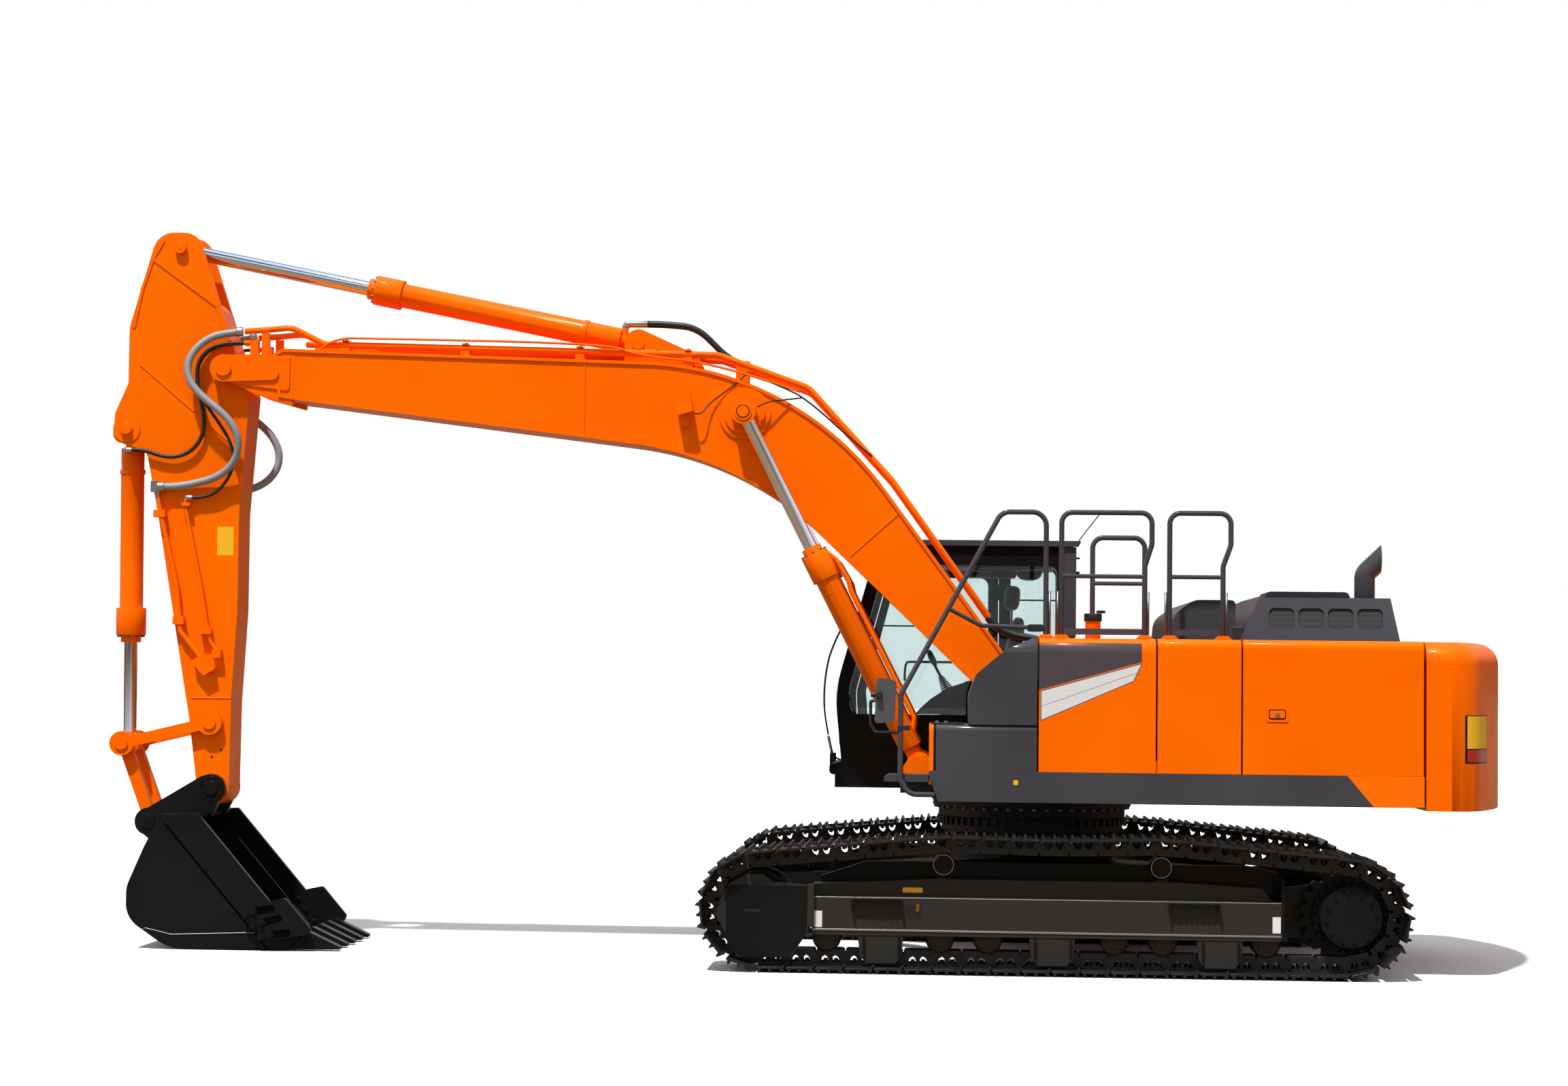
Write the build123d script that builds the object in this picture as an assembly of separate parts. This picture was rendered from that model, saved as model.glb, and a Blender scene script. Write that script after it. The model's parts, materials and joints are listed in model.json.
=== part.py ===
from build123d import *
import math
import os

# Crawler excavator of the 25 tonne class, one solid per piece, in millimetres.
#
# The machine faces -X, its left side is -Y, +Z is up and the ground is at Z = 0.
# The swing axis stands at X = 0, Y = 0 while the pieces are built.  At the end
# every piece is shifted along X and Y, so that the origin is the middle of the
# whole machine's footprint.

# ---------------------------------------------------------------- driving sizes

CLEAR = 0.3             # fit between a piece and its seat, or a pin and its bore
GAP = 8.0               # running gap between pieces that move past each other

# Tracks
TRACK_GAUGE = 2590      # centre to centre of the two tracks
SHOE_WIDTH = 600
SHOE_COUNT = 51         # shoes on each track
SHOE_THICK = 10
GROUSER_HEIGHT = 26
PIN_ABOVE_SHOE = 42     # link pin over the shoe's inner face
RAIL_ABOVE_PIN = 63     # link rail over the link pin
RAIL_INNER = 45         # rail faces, measured from the track's middle
RAIL_OUTER = 85
PITCH_RADIUS = 322      # of the link pins round sprocket and idler
IDLER_X = -1800
SPROCKET_X = 2000
CARRIER_X = (-600, 800)
CARRIER_RADIUS = 70
CARRIER_Z = 693
ROLLER_RADIUS = 75
ROLLER_X = (-1350, -1000, -620, -310, 100, 500, 810, 1170, 1470)
GUARDED_ROLLERS = (-1000, 100, 1170)

# Track frames and centre frame
BEAM_BOTTOM = 240
BEAM_TOP = 488
BEAM_FRONT = -1440
BEAM_REAR = 1560
BEAM_HALF = 190         # half the side beam's width
CENTRE_TOP = 860
RING_RADIUS = 620

# Upper structure
HOUSE_HALF = 1445       # half the upper structure's width
HOUSE_TOP = 2165
SKIRT_TOP = 1300
SKIRT_BOTTOM = 1100
SKIRT_THICK = 60
STORAGE_TOP = 1600      # top of the storage box, where the tank cover starts
HOUSE_FRONT = -700      # front of skirts and of the storage box
COVER_FRONT = -450      # front of the tank cover
TANK_SEAM = 0           # cover to tank, tank to middle panel, and so on
TANK_REAR = 762
MIDDLE_REAR = 1308
DOOR_REAR = 2470
SEAM = 12               # width of the joints between panels
TAIL_RADIUS = 3138
PANEL = 40              # thickness of doors and panels
SHOULDER = 95           # rounding of the upper structure's long top edges
LIP = 125               # reach of a side panel's top flange over the deck
TANK_INNER = 700        # inner wall of the tanks, from the middle
DECK_BOTTOM = 1120
DECK_TOP = 1210
DECK_HALF = HOUSE_HALF - SKIRT_THICK - CLEAR
BOOM_NOTCH = -800       # rear end of the opening in the deck under the lowered boom
HOOD_TOP = 2450
HOOD_HALF = 1150
HOOD_REAR = 2355

# Cab
CAB_NEAR = 492          # inner side wall, towards the boom
CAB_FAR = HOUSE_HALF
CAB_REAR = 310
CAB_FLOOR = 1300
CAB_FRONT = -1420
CAB_ROOF = 2875
CAB_WALL = 45
DOOR_HINGE_X = -215
GLASS = 8

# Working gear: pins in X and Z
BOOM_FOOT = (-33, 1709)
BOOM_TIP = (-5636, 4000)
BOOM_CYL_FOOT = (-775, 1311)
BOOM_CYL_EYE = (-1998, 3706)
ARM_CYL_FOOT = (-2760, 4210)
ARM_CYL_EYE = (-5976, 4852)
BUCKET_CYL_FOOT = (-6335, 3578)
LINK_PIN = (-6315, 1385)
GUIDE_PIVOT = (-5700, 1535)
BUCKET_PIN = (-5680, 1080)
BUCKET_LINK_PIN = (-6115, 847)

BOOM_HALF = 265         # half the boom's width
ARM_HALF = 180
CYL_OFFSET = 385        # boom cylinders, from the middle
BUCKET_HALF = 600
PIN_RADIUS = 45


# ---------------------------------------------------------------- shape helpers

def outline(points, radius=0):
    """A closed wire through 3-D points; radius is one value or one per corner.

    Each corner's arc takes at most 0.48 of the shorter of its two runs.
    """
    if radius == 0:
        return Polyline(*points, close=True)
    corners = [Vector(*point) for point in points]
    count = len(corners)
    radii = radius if isinstance(radius, (list, tuple)) else [radius] * count
    starts, middles, ends = [], [], []
    for number, corner in enumerate(corners):
        back = corners[number - 1] - corner
        ahead = corners[(number + 1) % count] - corner
        half = math.radians(back.get_angle(ahead)) / 2
        reach = 0.48 * min(back.length, ahead.length)
        if half > 1.55:         # no turn here: the corner stays a plain point
            starts.append(corner)
            ends.append(corner)
            middles.append(None)
            continue
        trim = min(radii[number] / math.tan(half), reach)
        bisector = (back.normalized() + ahead.normalized()).normalized()
        starts.append(corner + back.normalized() * trim)
        ends.append(corner + ahead.normalized() * trim)
        depth = trim / math.cos(half) - trim * math.tan(half)
        middles.append(corner + bisector * depth if trim > 0.01 else None)
    edges = []
    for number in range(count):
        if middles[number] is not None:
            edges.append(ThreePointArc(starts[number], middles[number], ends[number]))
        following = starts[(number + 1) % count]
        if (following - ends[number]).length > 0.01:
            edges.append(Line(ends[number], following))
    return edges


def slab(points, y_low, y_high, radius=0):
    """A profile in X and Z, made solid between two Y values."""
    face = make_face(outline([(x, y_low, z) for x, z in points], radius))
    return extrude(face, amount=y_high - y_low, dir=(0, 1, 0))


def plan(points, z_low, z_high, radius=0):
    """An outline in X and Y, made solid between two heights."""
    face = make_face(outline([(x, y, z_low) for x, y in points], radius))
    return extrude(face, amount=z_high - z_low, dir=(0, 0, 1))


def section(points, x_low, x_high, radius=0):
    """A cross-section in Y and Z, made solid between two X values."""
    face = make_face(outline([(x_low, y, z) for y, z in points], radius))
    return extrude(face, amount=x_high - x_low, dir=(1, 0, 0))


def block(x_low, x_high, y_low, y_high, z_low, z_high):
    """A box given by its limits."""
    size = (x_high - x_low, y_high - y_low, z_high - z_low)
    middle = ((x_low + x_high) / 2, (y_low + y_high) / 2, (z_low + z_high) / 2)
    return Pos(*middle) * Box(*size)


def drum(pin, radius, y_low, y_high):
    """A cylinder along Y round a pin given in X and Z."""
    plane = Plane(origin=(pin[0], y_low, pin[1]), z_dir=(0, 1, 0))
    return Solid.make_cylinder(radius, y_high - y_low, plane)


def post(x, y, radius, z_low, z_high):
    """An upright cylinder."""
    return Solid.make_cylinder(radius, z_high - z_low, Plane(origin=(x, y, z_low)))


def tube(points, diameter, bend):
    """A round bar along straight runs with bends of one radius."""
    path = FilletPolyline(*points, radius=bend) if bend else Polyline(*points)
    start = Plane(origin=path @ 0, z_dir=path % 0)
    return sweep(start * Circle(diameter / 2), path=path)


def spun(profile, pin, side_y):
    """Turn a profile of (y, radius) points about the Y axis line through a pin."""
    points = [(pin[0], side_y + y, pin[1] + radius) for y, radius in profile]
    face = make_face(Polyline(*points, close=True))
    return revolve(face, axis=Axis((pin[0], 0, pin[1]), (0, 1, 0)))


def union(shapes):
    """Fuse a list of overlapping or touching shapes."""
    first, *rest = shapes
    return first.fuse(*rest).clean() if rest else first


def strip(points, width, y_low, y_high):
    """A flat bar of one width along a line of points in X and Z."""
    upper, lower = [], []
    for number, point in enumerate(points):
        before, after = points[max(number - 1, 0)], points[min(number + 1, len(points) - 1)]
        off = width / 2 / distance(before, after)
        dx, dz = (after[0] - before[0]) * off, (after[1] - before[1]) * off
        upper.append((point[0] - dz, point[1] + dx))
        lower.append((point[0] + dz, point[1] - dx))
    return slab(upper + lower[::-1], y_low, y_high)


def strap(a, radius_a, b, radius_b, y_low, y_high):
    """A plate with two round ends of their own radii, and straight sides between them."""
    start, end = Vector(a[0], y_low, a[1]), Vector(b[0], y_low, b[1])
    ahead = (end - start).normalized()
    across = Vector(-ahead.Z, 0, ahead.X)
    lean = math.acos((radius_a - radius_b) / (end - start).length)

    def tangent(centre, radius, side):
        return centre + ahead * radius * math.cos(lean) + across * side * radius * math.sin(lean)

    a_left, a_right = tangent(start, radius_a, 1), tangent(start, radius_a, -1)
    b_left, b_right = tangent(end, radius_b, 1), tangent(end, radius_b, -1)
    edges = [Line(a_left, b_left), ThreePointArc(b_left, end + ahead * radius_b, b_right),
             Line(b_right, a_right), ThreePointArc(a_right, start - ahead * radius_a, a_left)]
    return extrude(make_face(edges), amount=y_high - y_low, dir=(0, 1, 0))


def plated(points, radii, half, step, edge):
    """A box of plates: the sides lie a step inside the edges of the plates round them."""
    core = slab(points, -half + step, half - step, radii)
    face = make_face(outline([(x, -half, z) for x, z in points], radii))
    inside = extrude(Pos(0, -1, 0) * offset(face, -edge), amount=2 * half + 2, dir=(0, 1, 0))
    return union([core, slab(points, -half, half, radii) - inside])


def hose(points, diameter):
    """A hose along a route; every bend is as large as its two runs allow."""
    radii = []
    for before, corner, after in zip(points, points[1:], points[2:]):
        back, ahead = Vector(*corner) - Vector(*before), Vector(*after) - Vector(*corner)
        half = math.radians(back.get_angle(ahead)) / 2
        radii.append(0.45 * min(back.length, ahead.length) / math.tan(half))
    HOSE_RADII.append((diameter, round(min(radii))))
    path = FilletPolyline(*points, radius=radii)
    return sweep(Plane(origin=path @ 0, z_dir=path % 0) * Circle(diameter / 2), path=path)


HOSE_RADII = []         # diameter and tightest bend of every hose, printed at the end


def sleeve(points, radius, length):
    """A crimped sleeve that carries on from the last run of a hose."""
    before, end = Vector(*points[-2]), Vector(*points[-1])
    return Solid.make_cylinder(radius, length, Plane(origin=end, z_dir=end - before))


def between(a, b, share):
    """The point at a share of the way from a to b."""
    return tuple(p + (q - p) * share for p, q in zip(a, b))


def distance(a, b):
    return math.hypot(b[0] - a[0], b[1] - a[1])


# ---------------------------------------------------------------- tracks

WHEEL_Z = PITCH_RADIUS + PIN_ABOVE_SHOE + SHOE_THICK + GROUSER_HEIGHT
PIN_LINE_Z = WHEEL_Z - PITCH_RADIUS
RAIL_TOP = PIN_LINE_Z + RAIL_ABOVE_PIN
TRACK_Y = TRACK_GAUGE / 2
CARRIER_PIN_Z = CARRIER_Z + CARRIER_RADIUS + RAIL_ABOVE_PIN + 7
HALF_TURN = math.pi / 10.5      # half the angle that one link takes on a wheel
IDLER_RADIUS = (PITCH_RADIUS - RAIL_ABOVE_PIN) * math.cos(HALF_TURN) - 4


def track_path():
    """The closed line of the link pins: bottom run, wheels, carriers."""
    top = WHEEL_Z + PITCH_RADIUS
    front, rear = CARRIER_X
    lean = math.atan2(CARRIER_PIN_Z - top, front - IDLER_X)
    idler_top = (IDLER_X - PITCH_RADIUS * math.sin(lean), 0,
                 WHEEL_Z + PITCH_RADIUS * math.cos(lean))
    sprocket_top = (SPROCKET_X + PITCH_RADIUS * math.sin(lean), 0,
                    WHEEL_Z + PITCH_RADIUS * math.cos(lean))
    bottom_front = (IDLER_X, 0, PIN_LINE_Z)
    bottom_rear = (SPROCKET_X, 0, PIN_LINE_Z)
    sag = ((front + rear) / 2, 0, CARRIER_PIN_Z - 16)
    edges = [
        Line(bottom_front, bottom_rear),
        ThreePointArc(bottom_rear, (SPROCKET_X + PITCH_RADIUS, 0, WHEEL_Z), sprocket_top),
        Line(sprocket_top, (rear, 0, CARRIER_PIN_Z)),
        Line((rear, 0, CARRIER_PIN_Z), sag),
        Line(sag, (front, 0, CARRIER_PIN_Z)),
        Line((front, 0, CARRIER_PIN_Z), idler_top),
        ThreePointArc(idler_top, (IDLER_X - PITCH_RADIUS, 0, WHEEL_Z), bottom_front),
    ]
    return Wire(edges)


def track(side):
    """One track: shoes with three grousers each, on two strands of links."""
    path = track_path()
    pins = [path.position_at(number / SHOE_COUNT) for number in range(SHOE_COUNT)]
    base = PIN_ABOVE_SHOE + SHOE_THICK
    tip = base + GROUSER_HEIGHT
    # one shoe's outer face: (share of the pitch from the shoe's middle, height)
    shoe = [(share + offset, height)
            for share in (-0.35, 0, 0.35)
            for offset, height in ((-0.09, base), (0, tip), (0.09, base))]
    outer, seat, rail = [], [], []
    for number, pin in enumerate(pins):
        before, after = pins[number - 1], pins[(number + 1) % SHOE_COUNT]
        run, turn = after - pin, (after - before).normalized()
        heading, middle = run.normalized(), (pin + after) / 2
        for share, height in shoe:
            outer.append((middle.X + heading.X * share * run.length + heading.Z * height,
                          middle.Z + heading.Z * share * run.length - heading.X * height))
        seat.append((pin.X + turn.Z * PIN_ABOVE_SHOE, pin.Z - turn.X * PIN_ABOVE_SHOE))
        rail.append((pin.X - turn.Z * RAIL_ABOVE_PIN, pin.Z + turn.X * RAIL_ABOVE_PIN))
    low, high = side * TRACK_Y - SHOE_WIDTH / 2, side * TRACK_Y + SHOE_WIDTH / 2
    belt = slab(outer, low, high) - slab(seat, low, high)
    strands = []
    for edge in (-1, 1):
        ends = sorted((side * TRACK_Y + edge * RAIL_INNER, side * TRACK_Y + edge * RAIL_OUTER))
        strands.append(slab(seat, *ends) - slab(rail, *ends))
    return union([belt] + strands)


def idler(side):
    hub = 60
    profile = [(-RAIL_OUTER - 10, 0), (-RAIL_OUTER - 10, hub), (-RAIL_OUTER, hub + 20),
               (-RAIL_OUTER, IDLER_RADIUS), (-RAIL_INNER + 7, IDLER_RADIUS),
               (-RAIL_INNER + 12, IDLER_RADIUS + 22), (RAIL_INNER - 12, IDLER_RADIUS + 22),
               (RAIL_INNER - 7, IDLER_RADIUS), (RAIL_OUTER, IDLER_RADIUS),
               (RAIL_OUTER, hub + 20), (RAIL_OUTER + 10, hub), (RAIL_OUTER + 10, 0)]
    return spun(profile, (IDLER_X, WHEEL_Z), side * TRACK_Y)


def lower_roller(side, x):
    profile = [(-105, 0), (-105, 92), (-88, 92), (-88, ROLLER_RADIUS), (88, ROLLER_RADIUS),
               (88, 92), (105, 92), (105, 0)]
    return spun(profile, (x, RAIL_TOP + ROLLER_RADIUS + CLEAR), side * TRACK_Y)


def carrier_roller(side, x):
    y = side * TRACK_Y
    return drum((x, CARRIER_Z), CARRIER_RADIUS, y - 95, y + 95)


def sprocket(side):
    """Toothed ring between the link strands, with the final drive's hub and cover."""
    teeth = 21
    root, tip = PITCH_RADIUS - 50, PITCH_RADIUS - 12
    points = []
    for number in range(teeth):
        middle = 2 * math.pi * number / teeth
        for share, radius in ((-0.42, root), (-0.16, tip), (0.16, tip), (0.42, root)):
            angle = middle + share * 2 * math.pi / teeth
            points.append((SPROCKET_X + radius * math.cos(angle),
                           WHEEL_Z + radius * math.sin(angle)))
    ring = slab(points, side * TRACK_Y - 34, side * TRACK_Y + 34)
    out = side
    hub = spun([(-out * 120, 0), (-out * 120, 200), (out * 60, 232), (out * 110, 232),
                (out * 150, 205), (out * 205, 195), (out * 205, 0)],
               (SPROCKET_X, WHEEL_Z), side * TRACK_Y)
    return union([ring, hub])


def travel_motor(side):
    start, end = sorted((side * (TRACK_Y - 120 - CLEAR), side * (TRACK_Y - 420)))
    return drum((SPROCKET_X, WHEEL_Z), 130, start, end)


def track_frame(side):
    """Side beam with idler fork, roller guards, carrier brackets and motor bracket."""
    y_mid = side * TRACK_Y
    low, high = y_mid - BEAM_HALF, y_mid + BEAM_HALF
    roller_z = RAIL_TOP + ROLLER_RADIUS
    inside = roller_z + 92 + GAP        # under the beam, over the rollers' flanges
    beam = slab([(BEAM_FRONT, inside), (BEAM_REAR, inside),
                 (BEAM_REAR, BEAM_TOP), (BEAM_FRONT, BEAM_TOP)], low, high)
    ridge = slab([(BEAM_FRONT, BEAM_TOP - 10), (BEAM_REAR - 40, BEAM_TOP - 10),
                  (BEAM_REAR - 120, 570), (900, 600), (-700, 600), (BEAM_FRONT, 560)],
                 y_mid - 110, y_mid + 110)
    cheeks = [block(BEAM_FRONT, BEAM_REAR, *sorted((y_mid + edge * 112, y_mid + edge * BEAM_HALF)),
                    BEAM_BOTTOM, inside + 10) for edge in (-1, 1)]
    pieces = [beam, ridge] + cheeks
    for x in ROLLER_X:
        for edge in (-1, 1):
            start, end = sorted((y_mid + edge * (105 + CLEAR), y_mid + edge * 150))
            pieces.append(slab([(x - 60, BEAM_BOTTOM + 35), (x - 45, roller_z - 40),
                                (x + 45, roller_z - 40), (x + 60, BEAM_BOTTOM + 35)], start, end))
    for x in GUARDED_ROLLERS:
        start, end = sorted((y_mid + side * 155, y_mid + side * 185))
        pieces.append(slab([(x - 150, BEAM_BOTTOM + 40), (x - 135, 110), (x - 95, 62),
                            (x + 95, 62), (x + 135, 110), (x + 150, BEAM_BOTTOM + 40)], start, end))
        start, end = sorted((y_mid + side * 148, y_mid + side * 160))
        pieces.append(block(x - 60, x + 60, start, end, roller_z - 60, BEAM_BOTTOM + 40))
    for x in CARRIER_X:
        start, end = sorted((y_mid - side * (95 + CLEAR), y_mid - side * 150))
        pieces.append(block(x - 55, x + 55, start, end, BEAM_TOP - 10, CARRIER_Z + 40))
    # idler fork and its outer guard
    for edge in (-1, 1):
        start, end = sorted((y_mid + side * edge * (RAIL_OUTER + 10 + CLEAR),
                             y_mid + side * edge * (RAIL_OUTER + 70)))
        pieces.append(slab([(BEAM_FRONT + 10, BEAM_BOTTOM + 40), (BEAM_FRONT + 10, BEAM_TOP),
                            (IDLER_X - 60, WHEEL_Z + 70), (IDLER_X - 60, WHEEL_Z - 70)], start, end))
    start, end = sorted((y_mid + side * (RAIL_OUTER + 70), y_mid + side * (BEAM_HALF + 20)))
    guard = slab([(IDLER_X + x, WHEEL_Z + z) for x, z in
                  ((-190, 155), (-70, 220), (40, 225), (110, 175), (340, 155), (340, -130),
                   (220, -310), (-120, -310), (-275, -20))], start, end)
    flange = slab([(BEAM_FRONT - 30, WHEEL_Z + 160), (BEAM_FRONT + 10, WHEEL_Z + 160),
                   (BEAM_FRONT + 10, WHEEL_Z - 110), (BEAM_FRONT - 30, WHEEL_Z - 110)],
                  *sorted((y_mid + side * 100, y_mid + side * (BEAM_HALF + 35))))
    # rear bracket that carries the final drive
    start, end = sorted((y_mid - side * (120 + CLEAR), y_mid - side * 180))
    motor_seat = slab([(BEAM_REAR - 60, BEAM_BOTTOM + 30)]
                      + [(SPROCKET_X + x, WHEEL_Z + z) for x, z in
                         ((-100, -200), (120, -140), (150, 0), (120, 140), (-100, 200))]
                      + [(BEAM_REAR - 60, BEAM_TOP + 60)], start, end)
    motor_seat -= drum((SPROCKET_X, WHEEL_Z), 130 + CLEAR, start - 1, end + 1)
    return union(pieces + [guard, flange, motor_seat])


# towing lugs on the centre frame: bore's place, radius and plate
TOW_X = 760
TOW_Z = 560
TOW_RADIUS = 32
TOW_THICK = 50


def centre_frame():
    """Car body: a tub under the swing ring with four legs to the side beams."""
    inner = TRACK_Y - BEAM_HALF - CLEAR
    legs = [(-560, -560), (-1050, -inner), (-620, -inner), (-250, -700),
            (250, -700), (620, -inner), (1050, -inner), (560, -560)]
    ring = legs + [(x, -y) for x, y in reversed(legs)]
    tub = plan(ring, 420, 700)
    tower = post(0, 0, RING_RADIUS - 40, 690, CENTRE_TOP)
    frame = [tub, tower]
    for side in (-1, 1):
        lug = slab([(side * x, z) for x, z in ((500, 440), (TOW_X + 70, 480), (TOW_X + 70, TOW_Z + 60),
                                               (500, TOW_Z + 80))],
                   -TOW_THICK / 2, TOW_THICK / 2)
        frame.append(lug - drum((side * TOW_X, TOW_Z), TOW_RADIUS, -TOW_THICK, TOW_THICK))
    return union(frame)


RING_BOTTOM = CENTRE_TOP + CLEAR


def swing_gear():
    """Lower half of the swing bearing, with its bolt ring."""
    return post(0, 0, RING_RADIUS, RING_BOTTOM, 960) - post(0, 0, 400, RING_BOTTOM - 1, 961)


# ---------------------------------------------------------------- upper structure

def swing_ring():
    """Upper half of the swing bearing, turning with the upper structure."""
    lower = post(0, 0, RING_RADIUS + 20, 960 + CLEAR, 1030)
    upper = post(0, 0, RING_RADIUS + 60, 1030, DECK_BOTTOM - CLEAR)
    return union([lower, upper]) - post(0, 0, 400, 959, DECK_BOTTOM + 1)


FOOT_GAP = BOOM_HALF + GAP     # inner face of the boom foot's side plates


VALVE_X = 290           # hose ports on the control valves behind the boom's foot
VALVE_TOP = 1640


def revolving_frame():
    """Deck with two long side plates that carry the boom foot and cylinders."""
    tail = DOOR_REAR + SEAM - CLEAR
    deck = plan([(HOUSE_FRONT + 20, -DECK_HALF), (HOUSE_FRONT + 20, -470), (-900, -470),
                 (-900, -FOOT_GAP), (BOOM_NOTCH, -FOOT_GAP), (BOOM_NOTCH, FOOT_GAP),
                 (-900, FOOT_GAP), (-900, CAB_NEAR), (CAB_FRONT + 40, CAB_NEAR),
                 (CAB_FRONT + 40, DECK_HALF), (tail, DECK_HALF), (tail, -DECK_HALF)],
                DECK_BOTTOM, DECK_TOP)
    pieces = [deck]
    foot = [(-560, DECK_TOP - 10), (-300, 1560), (-190, 1760), (-100, 1850), (30, 1850),
            (140, 1780), (700, 1420), (1150, DECK_TOP - 10)]
    for side in (-1, 1):
        start, end = sorted((side * FOOT_GAP, side * (FOOT_GAP + 35)))
        pieces.append(slab(foot, start, end))
        # fork for a boom cylinder's foot
        for edge in (-1, 1):
            inner = side * CYL_OFFSET + edge * (50 + CLEAR)
            outer = side * CYL_OFFSET + edge * 80
            start, end = sorted((inner, outer))
            pieces.append(slab([(-880, DECK_BOTTOM), (-880, 1300), (-830, 1375), (-720, 1375),
                                (-600, DECK_TOP - 10), (-600, DECK_BOTTOM)], start, end))
        pieces.append(drum(BOOM_FOOT, 110, *sorted((side * FOOT_GAP, side * (FOOT_GAP + 60)))))
    pieces.append(block(VALVE_X - 100, VALVE_X + 300, -250, 250, DECK_TOP - 10, VALVE_TOP))
    for route in foot_hose_routes():
        pieces.append(sleeve(route, HOSE_FOOT / 2 + SLEEVE_WALL, SLEEVE + 1))
    frame = union(pieces)
    frame -= drum(BOOM_FOOT, PIN_RADIUS + 15 + CLEAR, -FOOT_GAP - 70, FOOT_GAP + 70)
    for side in (-1, 1):
        start, end = sorted((side * (CYL_OFFSET - 90), side * (CYL_OFFSET + 90)))
        frame -= drum(BOOM_CYL_FOOT, PIN_RADIUS + CLEAR, start, end)
    return frame


def side_panel(side, x_low, x_high):
    """An upright wall with a rounded top that laps over the deck's edge."""
    bottom, top = SKIRT_TOP + CLEAR, HOUSE_TOP
    inner, wall = HOUSE_HALF - LIP, HOUSE_HALF - PANEL
    points = [(side * HOUSE_HALF, bottom), (side * HOUSE_HALF, top), (side * inner, top),
              (side * inner, top - PANEL), (side * wall, top - PANEL), (side * wall, bottom)]
    return section(points, x_low, x_high, [1, SHOULDER, 1, 1, SHOULDER - PANEL, 1])


def closed_side(side, x_low, x_high):
    """A tank or closed compartment with a rounded shoulder."""
    points = [(side * HOUSE_HALF, SKIRT_TOP + CLEAR), (side * HOUSE_HALF, HOUSE_TOP),
              (side * TANK_INNER, HOUSE_TOP), (side * TANK_INNER, DECK_TOP + CLEAR),
              (side * DECK_HALF, DECK_TOP + CLEAR), (side * DECK_HALF, SKIRT_TOP + CLEAR)]
    return section(points, x_low, x_high, [1, SHOULDER, 20, 1, 1, 1])


def tank_cover():
    """Dark cover that curves down at the front of the tanks."""
    x = COVER_FRONT
    low = STORAGE_TOP + CLEAR
    front = [(x, low), (x, HOUSE_TOP - 375), (x + 50, HOUSE_TOP - 240), (x + 240, HOUSE_TOP - 80),
             (x + 420, HOUSE_TOP), (TANK_SEAM - SEAM / 2, HOUSE_TOP), (TANK_SEAM - SEAM / 2, low)]
    side_cut = slab(front, -HOUSE_HALF, -TANK_INNER, [20, 150, 120, 300, 150, 1, 1])
    return side_cut & closed_side(-1, x, TANK_SEAM)


def storage_box():
    box = block(HOUSE_FRONT, TANK_SEAM - SEAM / 2, -HOUSE_HALF, -TANK_INNER,
                DECK_TOP + CLEAR, STORAGE_TOP)
    cut = block(HOUSE_FRONT - 1, TANK_SEAM, -HOUSE_HALF - 1, -DECK_HALF, DECK_TOP - 1,
                SKIRT_TOP + CLEAR)
    box = box - cut
    return fillet(box.edges().filter_by(Axis.X).group_by(Axis.Z)[-1], 40)


# threaded lifting holes in the counterweight: X, Y, radius, depth
LIFT_HOLE = (2710, 700, 18, 90)
COUNTERWEIGHT_EDGE = 140        # rounding of its upper edges


def counterweight():
    """Cast block with the tail's round rear, bulged sides and rounded edges."""
    front, corner = DOOR_REAR + SEAM, 2780
    plan_points = [(front, -HOUSE_HALF), (corner, -HOUSE_HALF), (TAIL_RADIUS, 0),
                   (corner, HOUSE_HALF), (front, HOUSE_HALF)]
    edges = [Line(plan_points[4] + (0,), plan_points[0] + (0,)),
             Line(plan_points[0] + (0,), plan_points[1] + (0,)),
             ThreePointArc(plan_points[1] + (0,), plan_points[2] + (0,), plan_points[3] + (0,)),
             Line(plan_points[3] + (0,), plan_points[4] + (0,))]
    bottom, top = 1080, HOUSE_TOP
    shape = extrude(Pos(0, 0, bottom) * make_face(edges), amount=top - bottom)
    shape = fillet(shape.edges().filter_by(Axis.Z).group_by(Axis.X)[-1], 220)
    upper = shape.faces().sort_by(Axis.Z)[-1].edges().filter_by(lambda e: e.center().X > front + 1)
    shape = fillet(upper, COUNTERWEIGHT_EDGE)
    for side in (-1, 1):
        shape -= post(LIFT_HOLE[0], side * LIFT_HOLE[1], LIFT_HOLE[2], top - LIFT_HOLE[3], top + 1)
    return shape


def side_skirt(side):
    start, end = sorted((side * HOUSE_HALF, side * (HOUSE_HALF - SKIRT_THICK)))
    front = HOUSE_FRONT if side < 0 else CAB_REAR + 30
    return slab([(front, SKIRT_TOP), (front, 1270), (front + 60, SKIRT_BOTTOM),
                 (DOOR_REAR, SKIRT_BOTTOM), (DOOR_REAR, SKIRT_TOP)], start, end)


def deck_plate():
    """Fixed top between the side panels, with the engine bay's opening."""
    half = HOUSE_HALF - LIP - SEAM / 2
    front = TANK_REAR - SEAM / 2 + CLEAR
    top = block(front, DOOR_REAR, -half, half, HOUSE_TOP - PANEL, HOUSE_TOP)
    bay = block(MIDDLE_REAR + 60, HOOD_REAR - 60, -HOOD_HALF + 60, HOOD_HALF - 60,
                HOUSE_TOP - PANEL - 1, HOUSE_TOP + 1)
    return top - bay


# mesh windows in the engine hood's sides: first one's front, width, pitch, bottom, top, depth
WINDOW_FRONT = 1510
WINDOW_WIDTH = 165
WINDOW_PITCH = 191
WINDOW_LOW = 2240
WINDOW_HIGH = 2380
WINDOW_DEPTH = 14
WINDOW_COUNT = 4
HOOD_LEAN = 60          # how far each side of the hood leans in from bottom to top


def hood_side(z):
    """Half the engine hood's width at a height."""
    return HOOD_HALF - HOOD_LEAN * (z - HOUSE_TOP) / (HOOD_TOP - HOUSE_TOP)


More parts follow.
